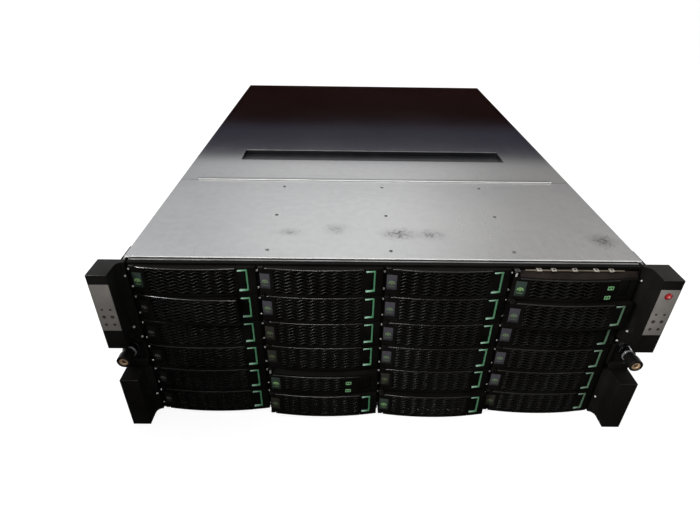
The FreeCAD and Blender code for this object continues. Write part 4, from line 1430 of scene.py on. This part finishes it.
def fan_parts(x, z):
    well = [(FAN - 0.6, FAN_FLOOR + 0.1), (FAN - 0.6, -0.05), (FAN - 0.05, -0.05), (FAN - 0.05, FAN_FLOOR)]
    hub = [(0, -0.7), (4.8, -0.7), (5.3, -1.2), (5.3, FAN_FLOOR + 0.2)]
    cap = [(0, 1.1), (5.0, 1.0), (5.4, 0.4)]
    parts = [(turned(well, x, z, 40), mark_dark), (turned(hub, x, z, 32), handle_black),
             (turned(cap, x, z, 32), stud_steel)]
    for number in range(BLADES):
        blade = turn(block((4.8, -0.3, -4.0), (16.2, 0.3, 4.0), 0.2), 0.25, "X")
        around = turn(shift(blade, 0, FAN_FLOOR + 1.6, 0), 2 * math.pi * number / BLADES, "Y")
        parts.append((shift(around, x, 0, z), handle_black))
    parts += [(turned(wire_ring(radius, 0.5, 0.5, 60), x, z, 40), stud_steel) for radius in GUARD_RINGS]
    for angle in SPOKES:
        spoke = turn(block((5.4, 0, -0.5), (20.5, 0.9, 0.5), 0.2), math.radians(angle), "Y")
        parts.append((shift(spoke, x, 0, z), stud_steel))
    corners = [(x + a * FAN_SCREW, z + b * FAN_SCREW) for a in (-1, 1) for b in (-1, 1)]
    return parts + [(rear_head(*corner, 2.0), stud_steel) for corner in corners]


def inlet_parts(x, z):
    wide, high, deep = INLET
    rim = rear_frame(x, z, wide + 5.0, high + 4.0, 2.5, -0.1, 1.4)
    parts = [(rim, pad_black)] + socket(x, z, INLET, 1.0, 0, pad_black, pad_black)
    for across, up_by in PINS:
        low = (x + across - 1.0, 0.6 - deep, z + up_by - 2.0)
        parts.append((block(low, (x + across + 1.0, -3.0, z + up_by + 2.0), 0.4), stud_steel))
    return parts


supply_finishes = [mark_dark, handle_black, stud_steel, pad_black, mark_green]
light = [(0, 0.5), (0.9, 0.4), (1.2, -0.1)]
for side, name in ((-1, "psu_left"), (1, "psu_right")):
    parts = fan_parts(side * FAN_X, SUPPLY_Z) + inlet_parts(side * INLET_X, SUPPLY_Z)
    parts += [(turned(light, side * LIGHT_X, SUPPLY_Z + z, 16), mark_green) for z in (-4.0, 4.0)]
    rear = shift(gather(supply_finishes, *parts), 0, MODULE_END, 0)
    add_piece("rear_" + name, rear, supply_finishes, name)
print("fan blades each:", BLADES)

# %% [markdown]
# Each controller has four shielded network ports, with a tongue, eight contacts and two small lights
# each, and round-headed screws that hold its slot covers. The contacts are thin bars laid on the tongue:
# stripes in the finish would look flat from the side.

# %% Network ports and screws
CONTACTS = 8
SLOT_SCREW_X, SLOT_SCREW_Z = (-110.0, -26.0), (-18.0, 0, 18.0)
CORNER_SCREW_Z = (-20.0, 20.0)


def port_parts(x, z):
    deep = PORT[2]
    tongue = block((x - 4.5, 0.6 - deep, z - 0.6), (x + 4.5, -3.0, z + 0.6), 0.15)
    parts = socket(x, z, PORT, 0.7, 0.5, stud_steel, pad_black) + [(tongue, pad_black)]
    for number in range(CONTACTS):
        left = x - CONTACTS / 2 + number
        parts.append((block((left + 0.2, 0.7 - deep, z + 0.6), (left + 0.8, -3.4, z + 0.75)), brass))
    small_light = [(0, 0.4), (0.8, 0.3), (1.0, -0.1)]
    return parts + [(turned(small_light, x + across, z + 8.5, 16), mark_green) for across in (-4.0, 4.0)]


controller_finishes = [stud_steel, pad_black, brass, mark_green]
for name in ("controller_lower", "controller_upper"):
    low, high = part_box(name)
    middle = (low.z + high.z) / 2 / MM
    parts = [part for number in range(PORTS) for part in port_parts((number + 0.5) * PORT_PITCH, middle)]
    heads = [rear_head(x, middle + z, 2.2) for x in SLOT_SCREW_X for z in SLOT_SCREW_Z]
    heads += [rear_head(x, middle + z, 3.0) for x in (-LIGHT_X, LIGHT_X) for z in CORNER_SCREW_Z]
    parts += [(head, stud_steel) for head in heads]
    rear = shift(gather(controller_finishes, *parts), 0, MODULE_END, 0)
    add_piece("rear_" + name, rear, controller_finishes, name)
print("ports each:", PORTS)
